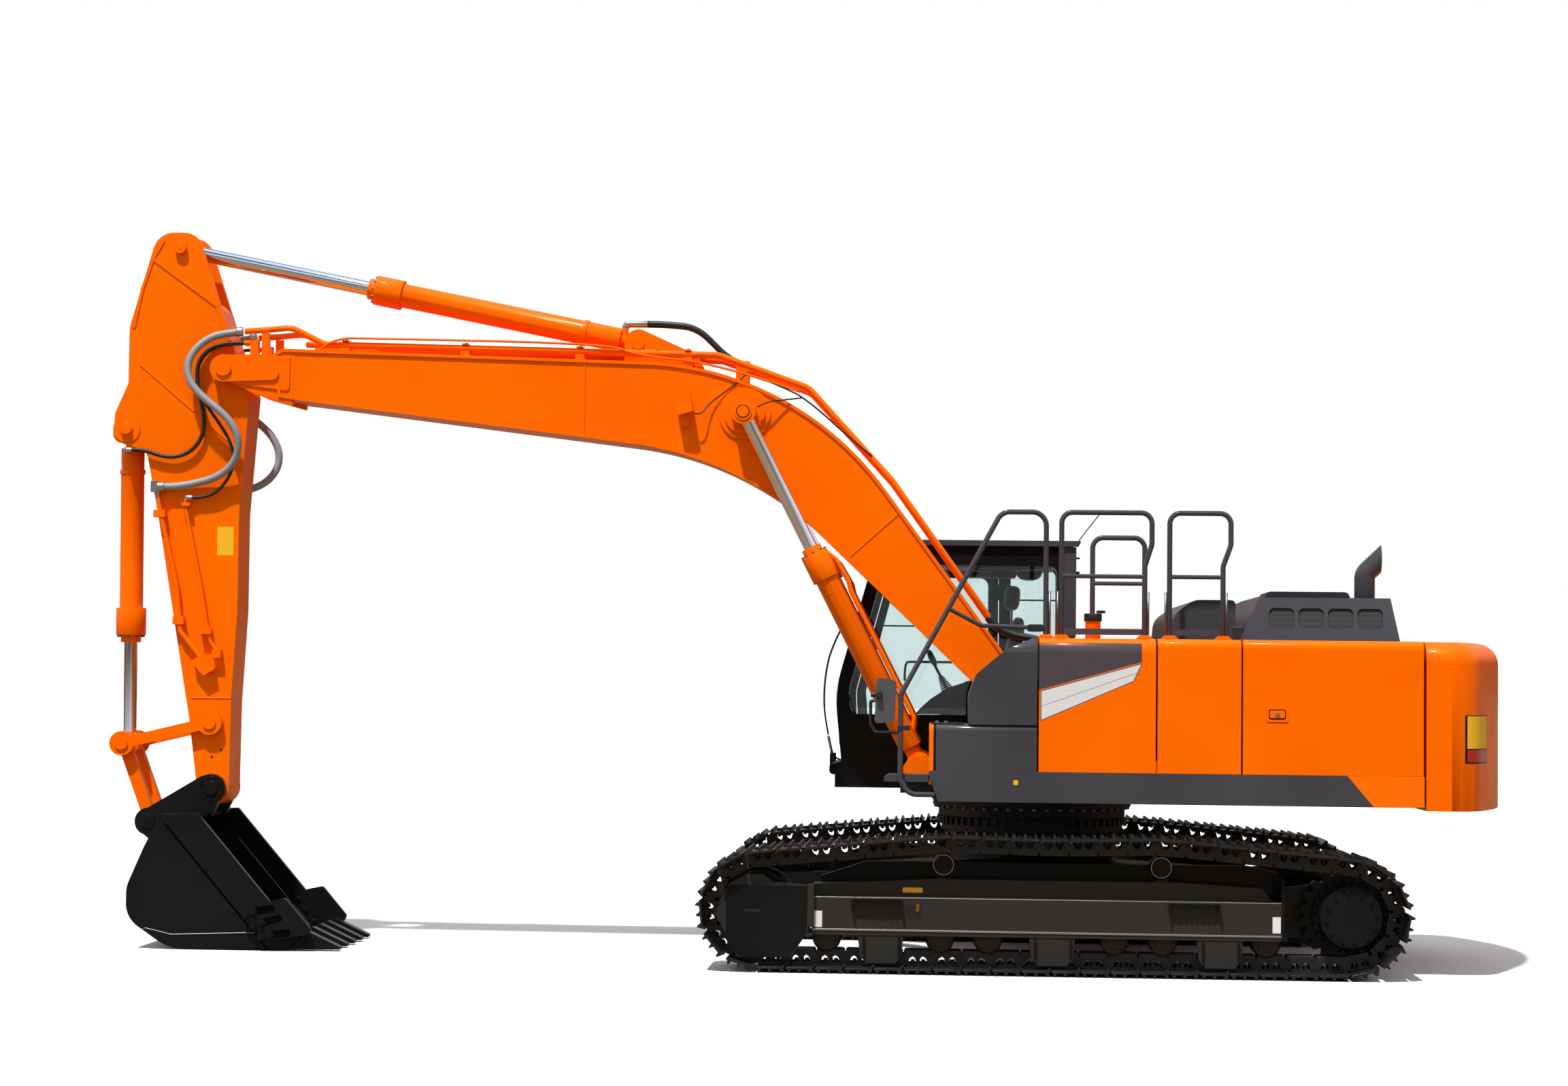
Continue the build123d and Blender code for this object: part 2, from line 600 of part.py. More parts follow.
def engine_hood():
    """Raised lid over the engine, hollow below, with recesses for its mesh windows."""
    def shell(grow, bottom):
        x_low, x_high = MIDDLE_REAR + 12 + grow, HOOD_REAR - grow
        half = HOOD_HALF - grow
        top = HOOD_TOP - grow
        body = slab([(x_low, bottom), (x_low + 25, 2230), (x_low + 130, top), (x_high - 55, top),
                     (x_high, bottom)], -half, half)
        lean = HOOD_LEAN
        sides = section([(-half, bottom), (-half + lean, top), (half - lean, top), (half, bottom)],
                        x_low - 1, x_high + 1)
        return body & sides
    lid = shell(0, HOUSE_TOP + CLEAR) - shell(PANEL, HOUSE_TOP)
    flap = slab([(1490, HOOD_TOP - 10), (1490, HOOD_TOP + 6), (1515, HOOD_TOP + 25),
                 (2025, HOOD_TOP + 25), (2050, HOOD_TOP + 6), (2050, HOOD_TOP - 10)], -1000, 1000)
    lid = union([lid, flap])
    for side in (-1, 1):
        low, high = hood_side(WINDOW_LOW), hood_side(WINDOW_HIGH)
        depth = section([(side * (low + 20), WINDOW_LOW), (side * (high + 20), WINDOW_HIGH),
                         (side * (high - WINDOW_DEPTH), WINDOW_HIGH),
                         (side * (low - WINDOW_DEPTH), WINDOW_LOW)], MIDDLE_REAR, HOOD_REAR)
        for number in range(WINDOW_COUNT):
            x = WINDOW_FRONT + number * WINDOW_PITCH
            window = slab([(x, WINDOW_LOW), (x, WINDOW_HIGH), (x + WINDOW_WIDTH, WINDOW_HIGH),
                           (x + WINDOW_WIDTH, WINDOW_LOW)], *sorted((side * 1000, side * 1200)), 35)
            lid -= window & depth
    return lid


def exhaust():
    """Upright pipe with a bent tip that is cut off upright."""
    x, y, radius, bend_z, cut_x = 2183, -700, 68, 2622, 2289
    pipe = tube([(x, y, HOOD_TOP + CLEAR), (x, y, bend_z), (x + 200, y, bend_z + 190)],
                2 * radius, radius + 4)
    pipe -= block(cut_x, x + 400, y - 200, y + 200, bend_z - 300, bend_z + 500)
    return pipe - rod_bar((x + 50, bend_z + 47), (x + 200, bend_z + 190), 20, 300, radius - 8, y)


def cooler_hood():
    """Small fixed hood ahead of the engine hood."""
    return slab([(880, HOUSE_TOP + CLEAR), (895, 2335), (1030, 2430), (MIDDLE_REAR - 10, 2430),
                 (MIDDLE_REAR - 10, HOUSE_TOP + CLEAR)], -1050, 1050, [1, 120, 110, 30, 1])


def engine_block():
    """Engine with its pumps, as one plain heavy block on the deck."""
    return block(1500, 2250, -800, 520, DECK_TOP + CLEAR, 2050)


def radiator():
    """Cooler pack behind the cab."""
    return block(450, 1200, 1080, 1230, DECK_TOP + CLEAR, 2080)


def filler():
    x, y = 362, -1150
    return union([post(x, y, 50, HOUSE_TOP + CLEAR, 2290), post(x, y, 58, 2280, 2330)])


RAIL_TUBE = 34
RAIL_LOW = -(HOUSE_HALF - 19)       # Y of the front rail's foot, which carries the mirror


def handrails():
    y = -(HOUSE_HALF - 155)
    seat = HOUSE_TOP + CLEAR
    low_y = RAIL_LOW
    front = tube([(HOUSE_FRONT + 38, low_y, 1145), (-830, low_y, 1145), (-885, low_y, 1240),
                  (-885, low_y, 1790), (-240, y, 2985), (50, y, 2985), (50, y, seat)],
                 RAIL_TUBE, 90)
    brace = tube([(-583, y - 72, 2350), (-370, y - 32, 2242), (50, y, 2230)], RAIL_TUBE - 6, 70)
    rails = [union([front, brace])]
    for x_low, x_high, waist in ((150, 735, 690), (850, 1245, 1195)):
        rail = tube([(x_low, y, seat), (x_low, y, 2985), (x_high, y, 2985), (x_high, y, 2780),
                     (waist, y, 2640), (waist, y, seat)], RAIL_TUBE, 70)
        middle = tube([(x_low, y, 2570), (waist, y, 2570)], RAIL_TUBE - 6, 0)
        toe_board = block(x_low, waist, y - 5, y + 5, 2190, 2230)
        rails.append(union([rail, middle, toe_board]))
    # lower rail on the inner edge of the tank
    inner_y, low_x, high_x, top = -(TANK_INNER + 60), 375, 721, 2846
    rail = tube([(low_x, inner_y, seat), (low_x, inner_y, top), (high_x, inner_y, top),
                 (high_x, inner_y, seat)], RAIL_TUBE, 70)
    middle = tube([(low_x, inner_y, 2541), (high_x, inner_y, 2541)], RAIL_TUBE - 6, 0)
    rails.append(union([rail, middle]))
    return rails


def mirror_and_arm():
    y = RAIL_LOW
    glass = slab([(-1055, 1600), (-1040, 1900), (-915, 1880), (-925, 1610)], y - 34, y + 36, 25)
    arm = tube([(-885 - 17 - CLEAR, y, 1545), (-1050, y, 1545), (-1080, y, 1600),
                (-1080, y, 1745), (-1040, y, 1750)], 22, 15)
    return union([glass, arm])


def front_step():
    rear = HOUSE_FRONT - CLEAR
    return slab([(-990, 1225), (-990, 1255), (-965, 1275), (rear, 1275), (rear, 1225)], -1400, -1180)


# ---------------------------------------------------------------- cab

# side outline of the cab, front up over the roof to the rear: (x, z, corner radius)
CAB_BOTTOM = DECK_TOP + CLEAR
CAB_SIDE = ((CAB_FRONT, CAB_BOTTOM, 30), (CAB_FRONT, 1285, 30), (-1335, 1300, 20), (-1385, 1800, 900),
            (-1090, 2840, 120), (-1000, CAB_ROOF, 200), (CAB_REAR - 25, CAB_ROOF, 40),
            (CAB_REAR, 2780, 200), (CAB_REAR, CAB_BOTTOM, 20))


def cab_shell():
    radii = [radius for _, _, radius in CAB_SIDE]
    outer = slab([(x, z) for x, z, _ in CAB_SIDE], CAB_NEAR, CAB_FAR, radii)
    room_points = [(-1280, CAB_FLOOR), (-1335, 1800), (-1050, 2800), (CAB_REAR - CAB_WALL, 2800),
                   (CAB_REAR - CAB_WALL, CAB_FLOOR)]
    room = slab(room_points, CAB_NEAR + CAB_WALL, CAB_FAR - CAB_WALL, [1, 800, 60, 60, 1])
    shell = outer - room
    side_window = [(-1265, 1640), (-1290, 1800), (-1035, 2700), (180, 2700), (180, 1640)]
    shell -= slab(side_window, CAB_NEAR - 1, CAB_NEAR + CAB_WALL + 1, [60, 300, 60, 60, 60])
    # windscreen, open from the floor to the roof beam
    shell -= block(-1500, -1000, CAB_NEAR + 70, CAB_FAR - 70, 1420, 2740)
    # rear window
    shell -= block(CAB_REAR - 60, CAB_REAR + 10, CAB_NEAR + 110, CAB_FAR - 110, 1800, 2660)
    # doorway and the fixed window behind it
    doorway = [(-1240, CAB_FLOOR), (-1265, 1800), (-1015, 2720), (DOOR_HINGE_X, 2720),
               (DOOR_HINGE_X, CAB_FLOOR)]
    shell -= slab(doorway, CAB_FAR - CAB_WALL - 1, CAB_FAR + 1, [20, 300, 60, 40, 20])
    shell -= slab([(-130, 1750), (-130, 2700), (200, 2700), (200, 1750)],
                  CAB_FAR - CAB_WALL - 1, CAB_FAR + 1, 50)
    return union([shell] + [door_hinge(z, False) for z in HINGE_Z])


HINGE_Z = (1480, 2480)          # lower ends of the cab door's hinges
HINGE_LENGTH = 60
HINGE_X = DOOR_HINGE_X + 2
HINGE_Y = CAB_FAR + 16
HINGE_RADIUS = 14
HINGE_LEAF = 55
DOOR_GAP = 6            # joint round the cab door


def door_hinge(z, on_door):
    """Half a hinge: a knuckle on the axis with its leaf; the cab's half has the lower knuckle."""
    low = z + HINGE_LENGTH + CLEAR if on_door else z
    high = low + HINGE_LENGTH
    outside = HINGE_Y - HINGE_RADIUS + 6
    if on_door:
        edge = DOOR_HINGE_X - DOOR_GAP
        leaf = [block(HINGE_X - HINGE_LEAF, edge, CAB_FAR - 1, outside, low, high),
                block(edge - 1, HINGE_X, CAB_FAR + CLEAR, outside, low, high)]
    else:
        leaf = [block(HINGE_X, HINGE_X + HINGE_LEAF, CAB_FAR - 1, outside, low, high)]
    return union(leaf + [post(HINGE_X, HINGE_Y, HINGE_RADIUS, low, high)])


def cab_glass():
    """Fixed panes: inner side, rear, and behind the door."""
    middle = CAB_WALL / 2
    near = slab([(-1265, 1640), (-1290, 1800), (-1035, 2700), (180, 2700), (180, 1640)],
                CAB_NEAR + middle - GLASS / 2, CAB_NEAR + middle + GLASS / 2, [60, 300, 60, 60, 60])
    rear = block(CAB_REAR - middle - GLASS / 2, CAB_REAR - middle + GLASS / 2,
                 CAB_NEAR + 110, CAB_FAR - 110, 1800, 2660)
    far = slab([(-130, 1750), (-130, 2700), (200, 2700), (200, 1750)],
               CAB_FAR - middle - GLASS / 2, CAB_FAR - middle + GLASS / 2, 50)
    return [near, rear, far]


def windscreen():
    inset = 70 + CLEAR
    outer = [(-1352, 1420), (-1372, 1800), (-1118, 2740), (-1128, 2740), (-1384, 1800), (-1362, 1420)]
    return slab(outer, CAB_NEAR + inset, CAB_FAR - inset)


def cab_door():
    """Door leaf with its window cut out; hinged at its rear edge."""
    gap = DOOR_GAP
    leaf = slab([(-1240 + gap, CAB_FLOOR + gap), (-1265 + gap, 1800), (-1015 + gap, 2720 - gap),
                 (DOOR_HINGE_X - gap, 2720 - gap), (DOOR_HINGE_X - gap, CAB_FLOOR + gap)],
                CAB_FAR - CAB_WALL, CAB_FAR, [20, 300, 60, 40, 20])
    window = slab([(-1170, 1560), (-1190, 1800), (-970, 2640), (DOOR_HINGE_X - 80, 2640),
                   (DOOR_HINGE_X - 80, 1560)], CAB_FAR - CAB_WALL - 1, CAB_FAR + 1, 60)
    return union([leaf - window] + [door_hinge(z, True) for z in HINGE_Z])


def cab_door_glass():
    middle = CAB_FAR - CAB_WALL / 2
    return slab([(-1170, 1560), (-1190, 1800), (-970, 2640), (DOOR_HINGE_X - 80, 2640),
                 (DOOR_HINGE_X - 80, 1560)], middle - GLASS / 2, middle + GLASS / 2, 60)


def operator_chair():
    y = (CAB_NEAR + CAB_FAR) / 2
    base = block(-560, -180, y - 180, y + 180, CAB_FLOOR + CLEAR, 1560)
    cushion = block(-640, -140, y - 250, y + 250, 1560, 1700)
    back = slab([(-230, 1690), (-110, 1690), (0, 2330), (-110, 2340)], y - 230, y + 230)
    rest = slab([(-160, 2330), (-20, 2330), (-10, 2570), (-110, 2580)], y - 140, y + 140, 30)
    return union([base, cushion, back, rest])


def controls():
    y_mid = (CAB_NEAR + CAB_FAR) / 2
    pieces = []
    for side in (-1, 1):
        y = y_mid + side * 340
        console = block(-640, 100, y - 70, y + 70, CAB_FLOOR + CLEAR, 1830)
        stick = post(-590, y, 22, 1820, 2010)
        pieces.append(union([console, stick]))
        pieces.append(post(-1010, y_mid + side * 90, 16, CAB_FLOOR + CLEAR, 1900))
    return pieces


# ---------------------------------------------------------------- boom

PIPE = 42
PIPE_Y = (-215, -150, 150, 215)
PIPE_ROUTE = ((-5080, 4178), (-2190, 4115), (-1560, 3890), (-980, 3255), (-310, 2325))
NOSE_ROUTE = ((-5500, 4262), (-5360, 4272), (-5170, 4290), (-4940, 4175))
PIPE_CLAMPS = (-4790, -3950, -3150, -2400)
CLAMP_HALF = 30
BOOM_STEP = 12          # the side plates lie this far inside the top and bottom plates
BOOM_EDGE = 22          # thickness of the top and bottom plates
BOOM_WEB = BOOM_HALF - BOOM_STEP
TIP_BOSS = BOOM_HALF + 14       # outer face of the boss round the arm's pin

# hoses' fixed ends on the boom: bracket on the nose and manifold on the boom's back
NOSE_BRACKET_X = -5455
NOSE_HOSE_Z = 4180
HOSE_SMALL = 24
HOSE_BUCKET = 30
HOSE_LARGE = 55
HOSE_CYLINDER = 42
HOSE_FOOT = 48
PORT_Y = 32             # the arm cylinder's two hoses, from the middle
SLEEVE = 45             # length of a crimped sleeve
SLEEVE_WALL = 5


def pipe_height(x):
    """Height of the steel lines over the boom's straight front half."""
    (x0, z0), (x1, z1) = PIPE_ROUTE[:2]
    return z0 + (z1 - z0) * (x - x0) / (x1 - x0)


def boom():
    """Box of plates from the foot's tube over the bend to the forked nose."""
    body = plated([(-5305, 4090), (-5230, 4138), (-1645, 4030), (60, 1722), (-124, 1600),
                   (-2022, 3400), (-5120, 3780), (-5250, 3800)],
                  [5, 5, 2150, 60, 60, 2300, 20, 10], BOOM_HALF, BOOM_STEP, BOOM_EDGE)
    foot = drum(BOOM_FOOT, 130, -BOOM_HALF, BOOM_HALF)
    pieces = [body, foot]
    ear = [(-5140, 4100), (-5150, 3750), (-5410, 3820), (-5600, 3905), (-5731, 4000), (-5640, 4095)]
    doubler = [(-5172, 4086), (-5172, 3842), (-5560, 3893), (-5675, 3985), (-5630, 4086)]
    for side in (-1, 1):
        def both(y_low, y_high):
            return sorted((side * y_low, side * y_high))
        pieces.append(slab(ear, *both(ARM_HALF + GAP, BOOM_WEB + 2), [10, 10, 60, 40, 60, 60]))
        pieces.append(slab(doubler, *both(BOOM_WEB, BOOM_HALF), [1, 30, 40, 60, 30]))
        pieces.append(drum(BOOM_TIP, 95, *both(ARM_HALF + GAP, BOOM_HALF)))
        pieces.append(strap(BOOM_TIP, 95, (-5298, 3967), 50, *both(BOOM_HALF - 1, TIP_BOSS)))
        # clevis for the arm cylinder, on the boom's top
        clevis = both(55 + CLEAR, 95)
        pieces.append(drum(ARM_CYL_FOOT, 93, *clevis))
        pieces.append(slab([(-2853, 4040), (-2853, 4210), (-2760, 4303), (-2735, 4303),
                            (-2345, 4125), (-2300, 4030)], *clevis, [1, 1, 1, 60, 20, 1]))
        # stepped boss where a boom cylinder's rod eye seats
        pieces.append(drum(BOOM_CYL_EYE, 178, *both(BOOM_WEB - 1, BOOM_WEB + 15)))
        pieces.append(drum(BOOM_CYL_EYE, 140, *both(BOOM_WEB + 14, BOOM_HALF + 20)))
        pieces.append(drum(BOOM_CYL_EYE, 90, *both(BOOM_HALF - 1, CYL_OFFSET - 52)))
        # post under the outer line's front end, and bracket of the nose's small hoses
        pieces.append(block(-5375, -5325, *both(197, 247), 4080, NOSE_ROUTE[1][1] - PIPE / 2 - 3))
        pieces.append(block(NOSE_BRACKET_X, NOSE_BRACKET_X + 55, *both(190, BOOM_WEB),
                            4080, NOSE_HOSE_Z + 20))
    for x in PIPE_CLAMPS:
        for side in (-1, 1):
            start, end = sorted((side * 125, side * 240))
            seat = pipe_height(x + CLAMP_HALF) - PIPE / 2 - CLEAR
            pieces.append(block(x - CLAMP_HALF, x + CLAMP_HALF, start, end, 3990, seat))
    # manifold for the arm cylinder's hoses
    pieces.append(block(-2075, -1985, -65, 65, 3880, 4088))
    for route in cylinder_hose_routes():
        pieces.append(sleeve(route, HOSE_CYLINDER / 2 + SLEEVE_WALL, SLEEVE))
    for routes in hose_routes().values():
        for diameter, route in routes:
            if diameter < HOSE_LARGE:
                pieces.append(sleeve(route[::-1], diameter / 2 + SLEEVE_WALL, SLEEVE))
    shape = union(pieces)
    shape -= drum(BOOM_FOOT, PIN_RADIUS + 15 + CLEAR, -BOOM_HALF - 1, BOOM_HALF + 1)
    shape -= drum(BOOM_TIP, PIN_RADIUS + CLEAR, -BOOM_HALF - 20, BOOM_HALF + 20)
    shape -= drum(ARM_CYL_FOOT, PIN_RADIUS + CLEAR, -100, 100)
    return shape


def work_lamp():
    """Lamp on a strap on the boom's left side."""
    lamp = slab([(-2486, 3828), (-2373, 3853), (-2348, 3713), (-2454, 3680)], -375, -285, 12)
    strap_plate = block(-2432, -2382, -300, -BOOM_WEB - CLEAR, 3610, 3725)
    return union([lamp, strap_plate])


def boom_foot_pin():
    reach = FOOT_GAP + 60
    return union([drum(BOOM_FOOT, PIN_RADIUS + 15, -reach, reach),
                  drum(BOOM_FOOT, 85, -reach - 12, -reach), drum(BOOM_FOOT, 85, reach, reach + 12)])


def arm_pivot_pin():
    """Pin through the boom's fork and the arm, with a cap at each end."""
    reach = TIP_BOSS
    pieces = [drum(BOOM_TIP, PIN_RADIUS, -reach, reach)]
    for side in (-1, 1):
        start, end = sorted((side * (reach + CLEAR), side * (reach + 14)))
        pieces.append(drum(BOOM_TIP, 56, start, end))
        pieces.append(drum(BOOM_TIP, PIN_RADIUS, *sorted((side * reach, side * (reach + 14)))))
    return union(pieces)


def boom_pipes():
    """Steel lines along the boom's back; the outer two run on over the nose."""
    lines = []
    for y in PIPE_Y:
        outer = abs(y) == PIPE_Y[-1]
        route = NOSE_ROUTE + PIPE_ROUTE[1:] if outer else PIPE_ROUTE
        line = tube([(x, y, z) for x, z in route], PIPE, 160)
        if outer:
            start = hose_routes()["left" if y < 0 else "right"][0][1]
            line = union([line, sleeve(start[::-1], HOSE_LARGE / 2 + SLEEVE_WALL, SLEEVE)])
        lines.append(line)
    return lines


def hose_routes():
    """Routes of the hoses past the arm's pivot: for each side, pairs of diameter and points."""
    large = [(-5562, 215, 4256), (-5673, 222, 4243), (-5761, 235, 4206), (-5838, 252, 4138),
             (-5886, 270, 4050), (-5885, 285, 3956), (-5844, 297, 3868), (-5753, 305, 3780),
             (-5651, 308, 3703), (-5572, 306, 3626), (-5525, 300, 3538), (-5515, 288, 3450),
             (-5540, 268, 3360), (-5610, 244, 3282), (-5709, 224, 3230), (-5831, 212, 3199),
             (-5964, 210, 3174), (-6050, 210, 3174)]
    small = [(NOSE_BRACKET_X - SLEEVE, 236, NOSE_HOSE_Z), (-5600, 236, NOSE_HOSE_Z),
             (-5710, 240, 4158), (-5785, 245, 4105), (-5828, 250, 4020), (-5826, 254, 3910),
             (-5790, 257, 3800), (-5725, 259, 3700), (-5650, 259, 3600), (-5585, 257, 3497),
             (-5554, 252, 3390), (-5568, 242, 3288), (-5618, 230, 3200), (-5690, 217, 3132),
             (-5775, 210, 3100), (-5850, 210, 3100)]
    bulged = [(-5562, 215, 4256), (-5673, 222, 4243), (-5761, 235, 4206), (-5838, 252, 4138),
              (-5880, 270, 4050), (-5872, 285, 3956), (-5815, 297, 3868), (-5717, 305, 3795),
              (-5610, 310, 3730), (-5505, 312, 3660), (-5415, 310, 3575), (-5360, 304, 3470),
              (-5357, 292, 3365), (-5405, 270, 3270), (-5490, 246, 3205), (-5605, 226, 3172),
              (-5735, 214, 3163), (-5862, 211, 3166), (-5965, 210, 3174), (-6050, 210, 3174)]
    return {"left": [(HOSE_LARGE, mirrored(large)), (HOSE_SMALL, mirrored(small))],
            "right": [(HOSE_LARGE, bulged), (HOSE_SMALL, small)],
            "bucket": [(HOSE_BUCKET, bucket_hose_route())]}


def mirrored(points):
    """The same points on the machine's left side."""
    return [(x, -y, z) for x, y, z in points]


# elbow on the bucket cylinder's barrel that its hose reaches: height, end in X, and plane
BUCKET_PORT_Z = 3430
BUCKET_PORT_X = -6340
BUCKET_PORT_END = -6285
BUCKET_PORT_Y = -207


def bucket_hose_route():
    y = BUCKET_PORT_Y
    return [(NOSE_BRACKET_X - SLEEVE, -203, NOSE_HOSE_Z), (-5600, -203, NOSE_HOSE_Z),
            (-5705, -204, 4160), (-5785, -205, 4108), (-5836, -206, 4020), (-5836, -206, 3915),
            (-5812, -206, 3800), (-5782, -206, 3690), (-5778, -206, 3580), (-5812, -206, 3485),
            (-5884, -206, 3412), (-5985, -206, 3378), (-6095, -206, 3390),
            (-6195, y, BUCKET_PORT_Z), (BUCKET_PORT_END, y, BUCKET_PORT_Z)]


def cylinder_hose_routes():
    """The arm cylinder's two hoses, from the base elbows to the manifold on the boom."""
    profile = [(-2700, 4350), (-2620, 4350), (-2515, 4343), (-2410, 4334), (-2316, 4289),
               (-2235, 4210), (-2165, 4140), (-2100, 4098)]
    return [[(x, y, z) for x, z in profile] for y in (-PORT_Y, PORT_Y)]


def foot_hose_routes():
    """Hoses from the boom's steel lines to the valves behind the boom's foot."""
    (x0, z0), (x1, z1) = PIPE_ROUTE[-2:]
    run = math.hypot(x1 - x0, z1 - z0)
    ux, uz = (x1 - x0) / run, (z1 - z0) / run
    profile = [(x1, z1), (x1 + ux * 90, z1 + uz * 90), (-150, 2200), (-35, 2185), (80, 2160),
               (180, 2095), (250, 2000), (285, 1890), (VALVE_X, VALVE_TOP + SLEEVE + 75),
               (VALVE_X, VALVE_TOP + SLEEVE)]
    return [[(x, y, z) for x, z in profile] for y in PIPE_Y]


# ---------------------------------------------------------------- cylinders

def along(start, end, reach, offset_y=0):
    """A point at a distance from start towards end, as X, Y, Z."""
    x, z = between(start, end, reach / distance(start, end))
    return (x, offset_y, z)


def rod_bar(start, end, low, high, radius, y):
    """A cylinder on the line from start to end, between two distances from start."""
    direction = Vector(end[0] - start[0], 0, end[1] - start[1])
    plane = Plane(origin=along(start, end, low, y), z_dir=direction)
    return Solid.make_cylinder(radius, high - low, plane)


# pins in X and Z; outer, bore, head and rod radius; length of the barrel from its pin; how far
# the rod runs out from where it is parked; radius of the eyes and half their width
CYLINDERS = {
    "boom": dict(foot=BOOM_CYL_FOOT, eye=BOOM_CYL_EYE, outer=78, bore=62, head=95, rod=47,
                 barrel=1650, run_out=590, eye_r=85, half=50),
    "arm": dict(foot=ARM_CYL_FOOT, eye=ARM_CYL_EYE, outer=84, bore=68, head=104, rod=50,
                barrel=1948, run_out=475, eye_r=90, half=55),
    "bucket": dict(foot=BUCKET_CYL_FOOT, eye=LINK_PIN, outer=80, bore=62, head=103, rod=45,
                   barrel=1488, run_out=625, eye_r=80, half=50),
}
NECK = 45               # from the base eye's rim to the barrel proper
BASE_WALL = 15
GLAND = 50              # bearing length of the gland round the rod
PISTON = 40
SLOT_HALF = 60          # half the width of the arm's slots for the cylinder eyes


def barrel(c, y=0):
    """Cylinder barrel with its base eye, collar and gland; the rod slides inside."""
    foot, eye = c["foot"], c["eye"]
    body = c["eye_r"] + NECK        # the barrel proper starts clear of the clevis
    bottom = body + BASE_WALL
    shape = union([
        rod_bar(foot, eye, c["eye_r"] - 30, body + 5, c["half"], y),
        rod_bar(foot, eye, body, c["barrel"] - 60, c["outer"], y),
        rod_bar(foot, eye, c["barrel"] - 240, c["barrel"] - 50, c["head"], y),
        rod_bar(foot, eye, c["barrel"] - 60, c["barrel"], c["outer"] - 10, y),
        drum(foot, c["eye_r"], y - c["half"], y + c["half"]),
    ])
    shape -= rod_bar(foot, eye, bottom, c["barrel"] - GLAND, c["bore"], y)
    shape -= rod_bar(foot, eye, bottom, c["barrel"] + 1, c["rod"] + CLEAR, y)
    return shape - drum(foot, PIN_RADIUS, y - c["half"] - 1, y + c["half"] + 1)


def rod(c, y=0, pin_low=0, pin_high=0):
    """Chromed rod with piston and eye; the eye keeps its own pin."""
    foot, eye = c["foot"], c["eye"]
    length = distance(foot, eye)
    inner = c["barrel"] - GLAND - c["run_out"] - PISTON
    shape = union([
        rod_bar(foot, eye, inner, length - 60, c["rod"], y),
        rod_bar(foot, eye, inner, inner + PISTON, c["bore"] - CLEAR, y),
        drum(eye, c["eye_r"], y - c["half"], y + c["half"]),
        drum(eye, PIN_RADIUS, y + pin_low, y + pin_high),
    ])
    return shape


def foot_pin(c, y, reach):
    return drum(c["foot"], PIN_RADIUS, y - reach, y + reach)


def band(c, reach):
    """A clamp round a barrel, at a distance from its foot."""
    return rod_bar(c["foot"], c["eye"], reach - 15, reach + 15, c["outer"] + 8, 0)


def bore(c, reach):
    return rod_bar(c["foot"], c["eye"], reach - 20, reach + 20, c["outer"] - 5, 0)


# line beside a boom cylinder's barrel: distance from the foot, and from the barrel's axis
BARREL_LINE = ((1560, 88), (1500, 118), (1330, 128), (1260, 112), (300, 112), (230, 74))


def barrel_line(c, y):
    ahead = (Vector(c["eye"][0], 0, c["eye"][1]) - Vector(c["foot"][0], 0, c["foot"][1])).normalized()
    off = Vector(ahead.Z, 0, -ahead.X)
    foot = Vector(c["foot"][0], y, c["foot"][1])
    return tube([tuple(foot + ahead * reach + off * step) for reach, step in BARREL_LINE], 32, 40)


def arm_cylinder_elbows():
    """Bent ports at the base of the arm cylinder, where its hoses start."""
    (x, _, z), elbows = cylinder_hose_routes()[0][0], []
    for y in (-PORT_Y, PORT_Y):
        elbows.append(tube([(x - 160, y, z - 110), (x - 160, y, z), (x, y, z)], 40, 32))
    return elbows


def bucket_cylinder_elbow():
    y = BUCKET_PORT_Y
    return tube([(BUCKET_PORT_X, -60, BUCKET_PORT_Z), (BUCKET_PORT_X, y, BUCKET_PORT_Z),
                 (BUCKET_PORT_END, y, BUCKET_PORT_Z)], 36, 24)


# ---------------------------------------------------------------- arm and linkage

ARM_WEB = 172           # outer faces of the arm's side plates
LUG_INNER = 130         # inner faces of the two plates at the arm's head


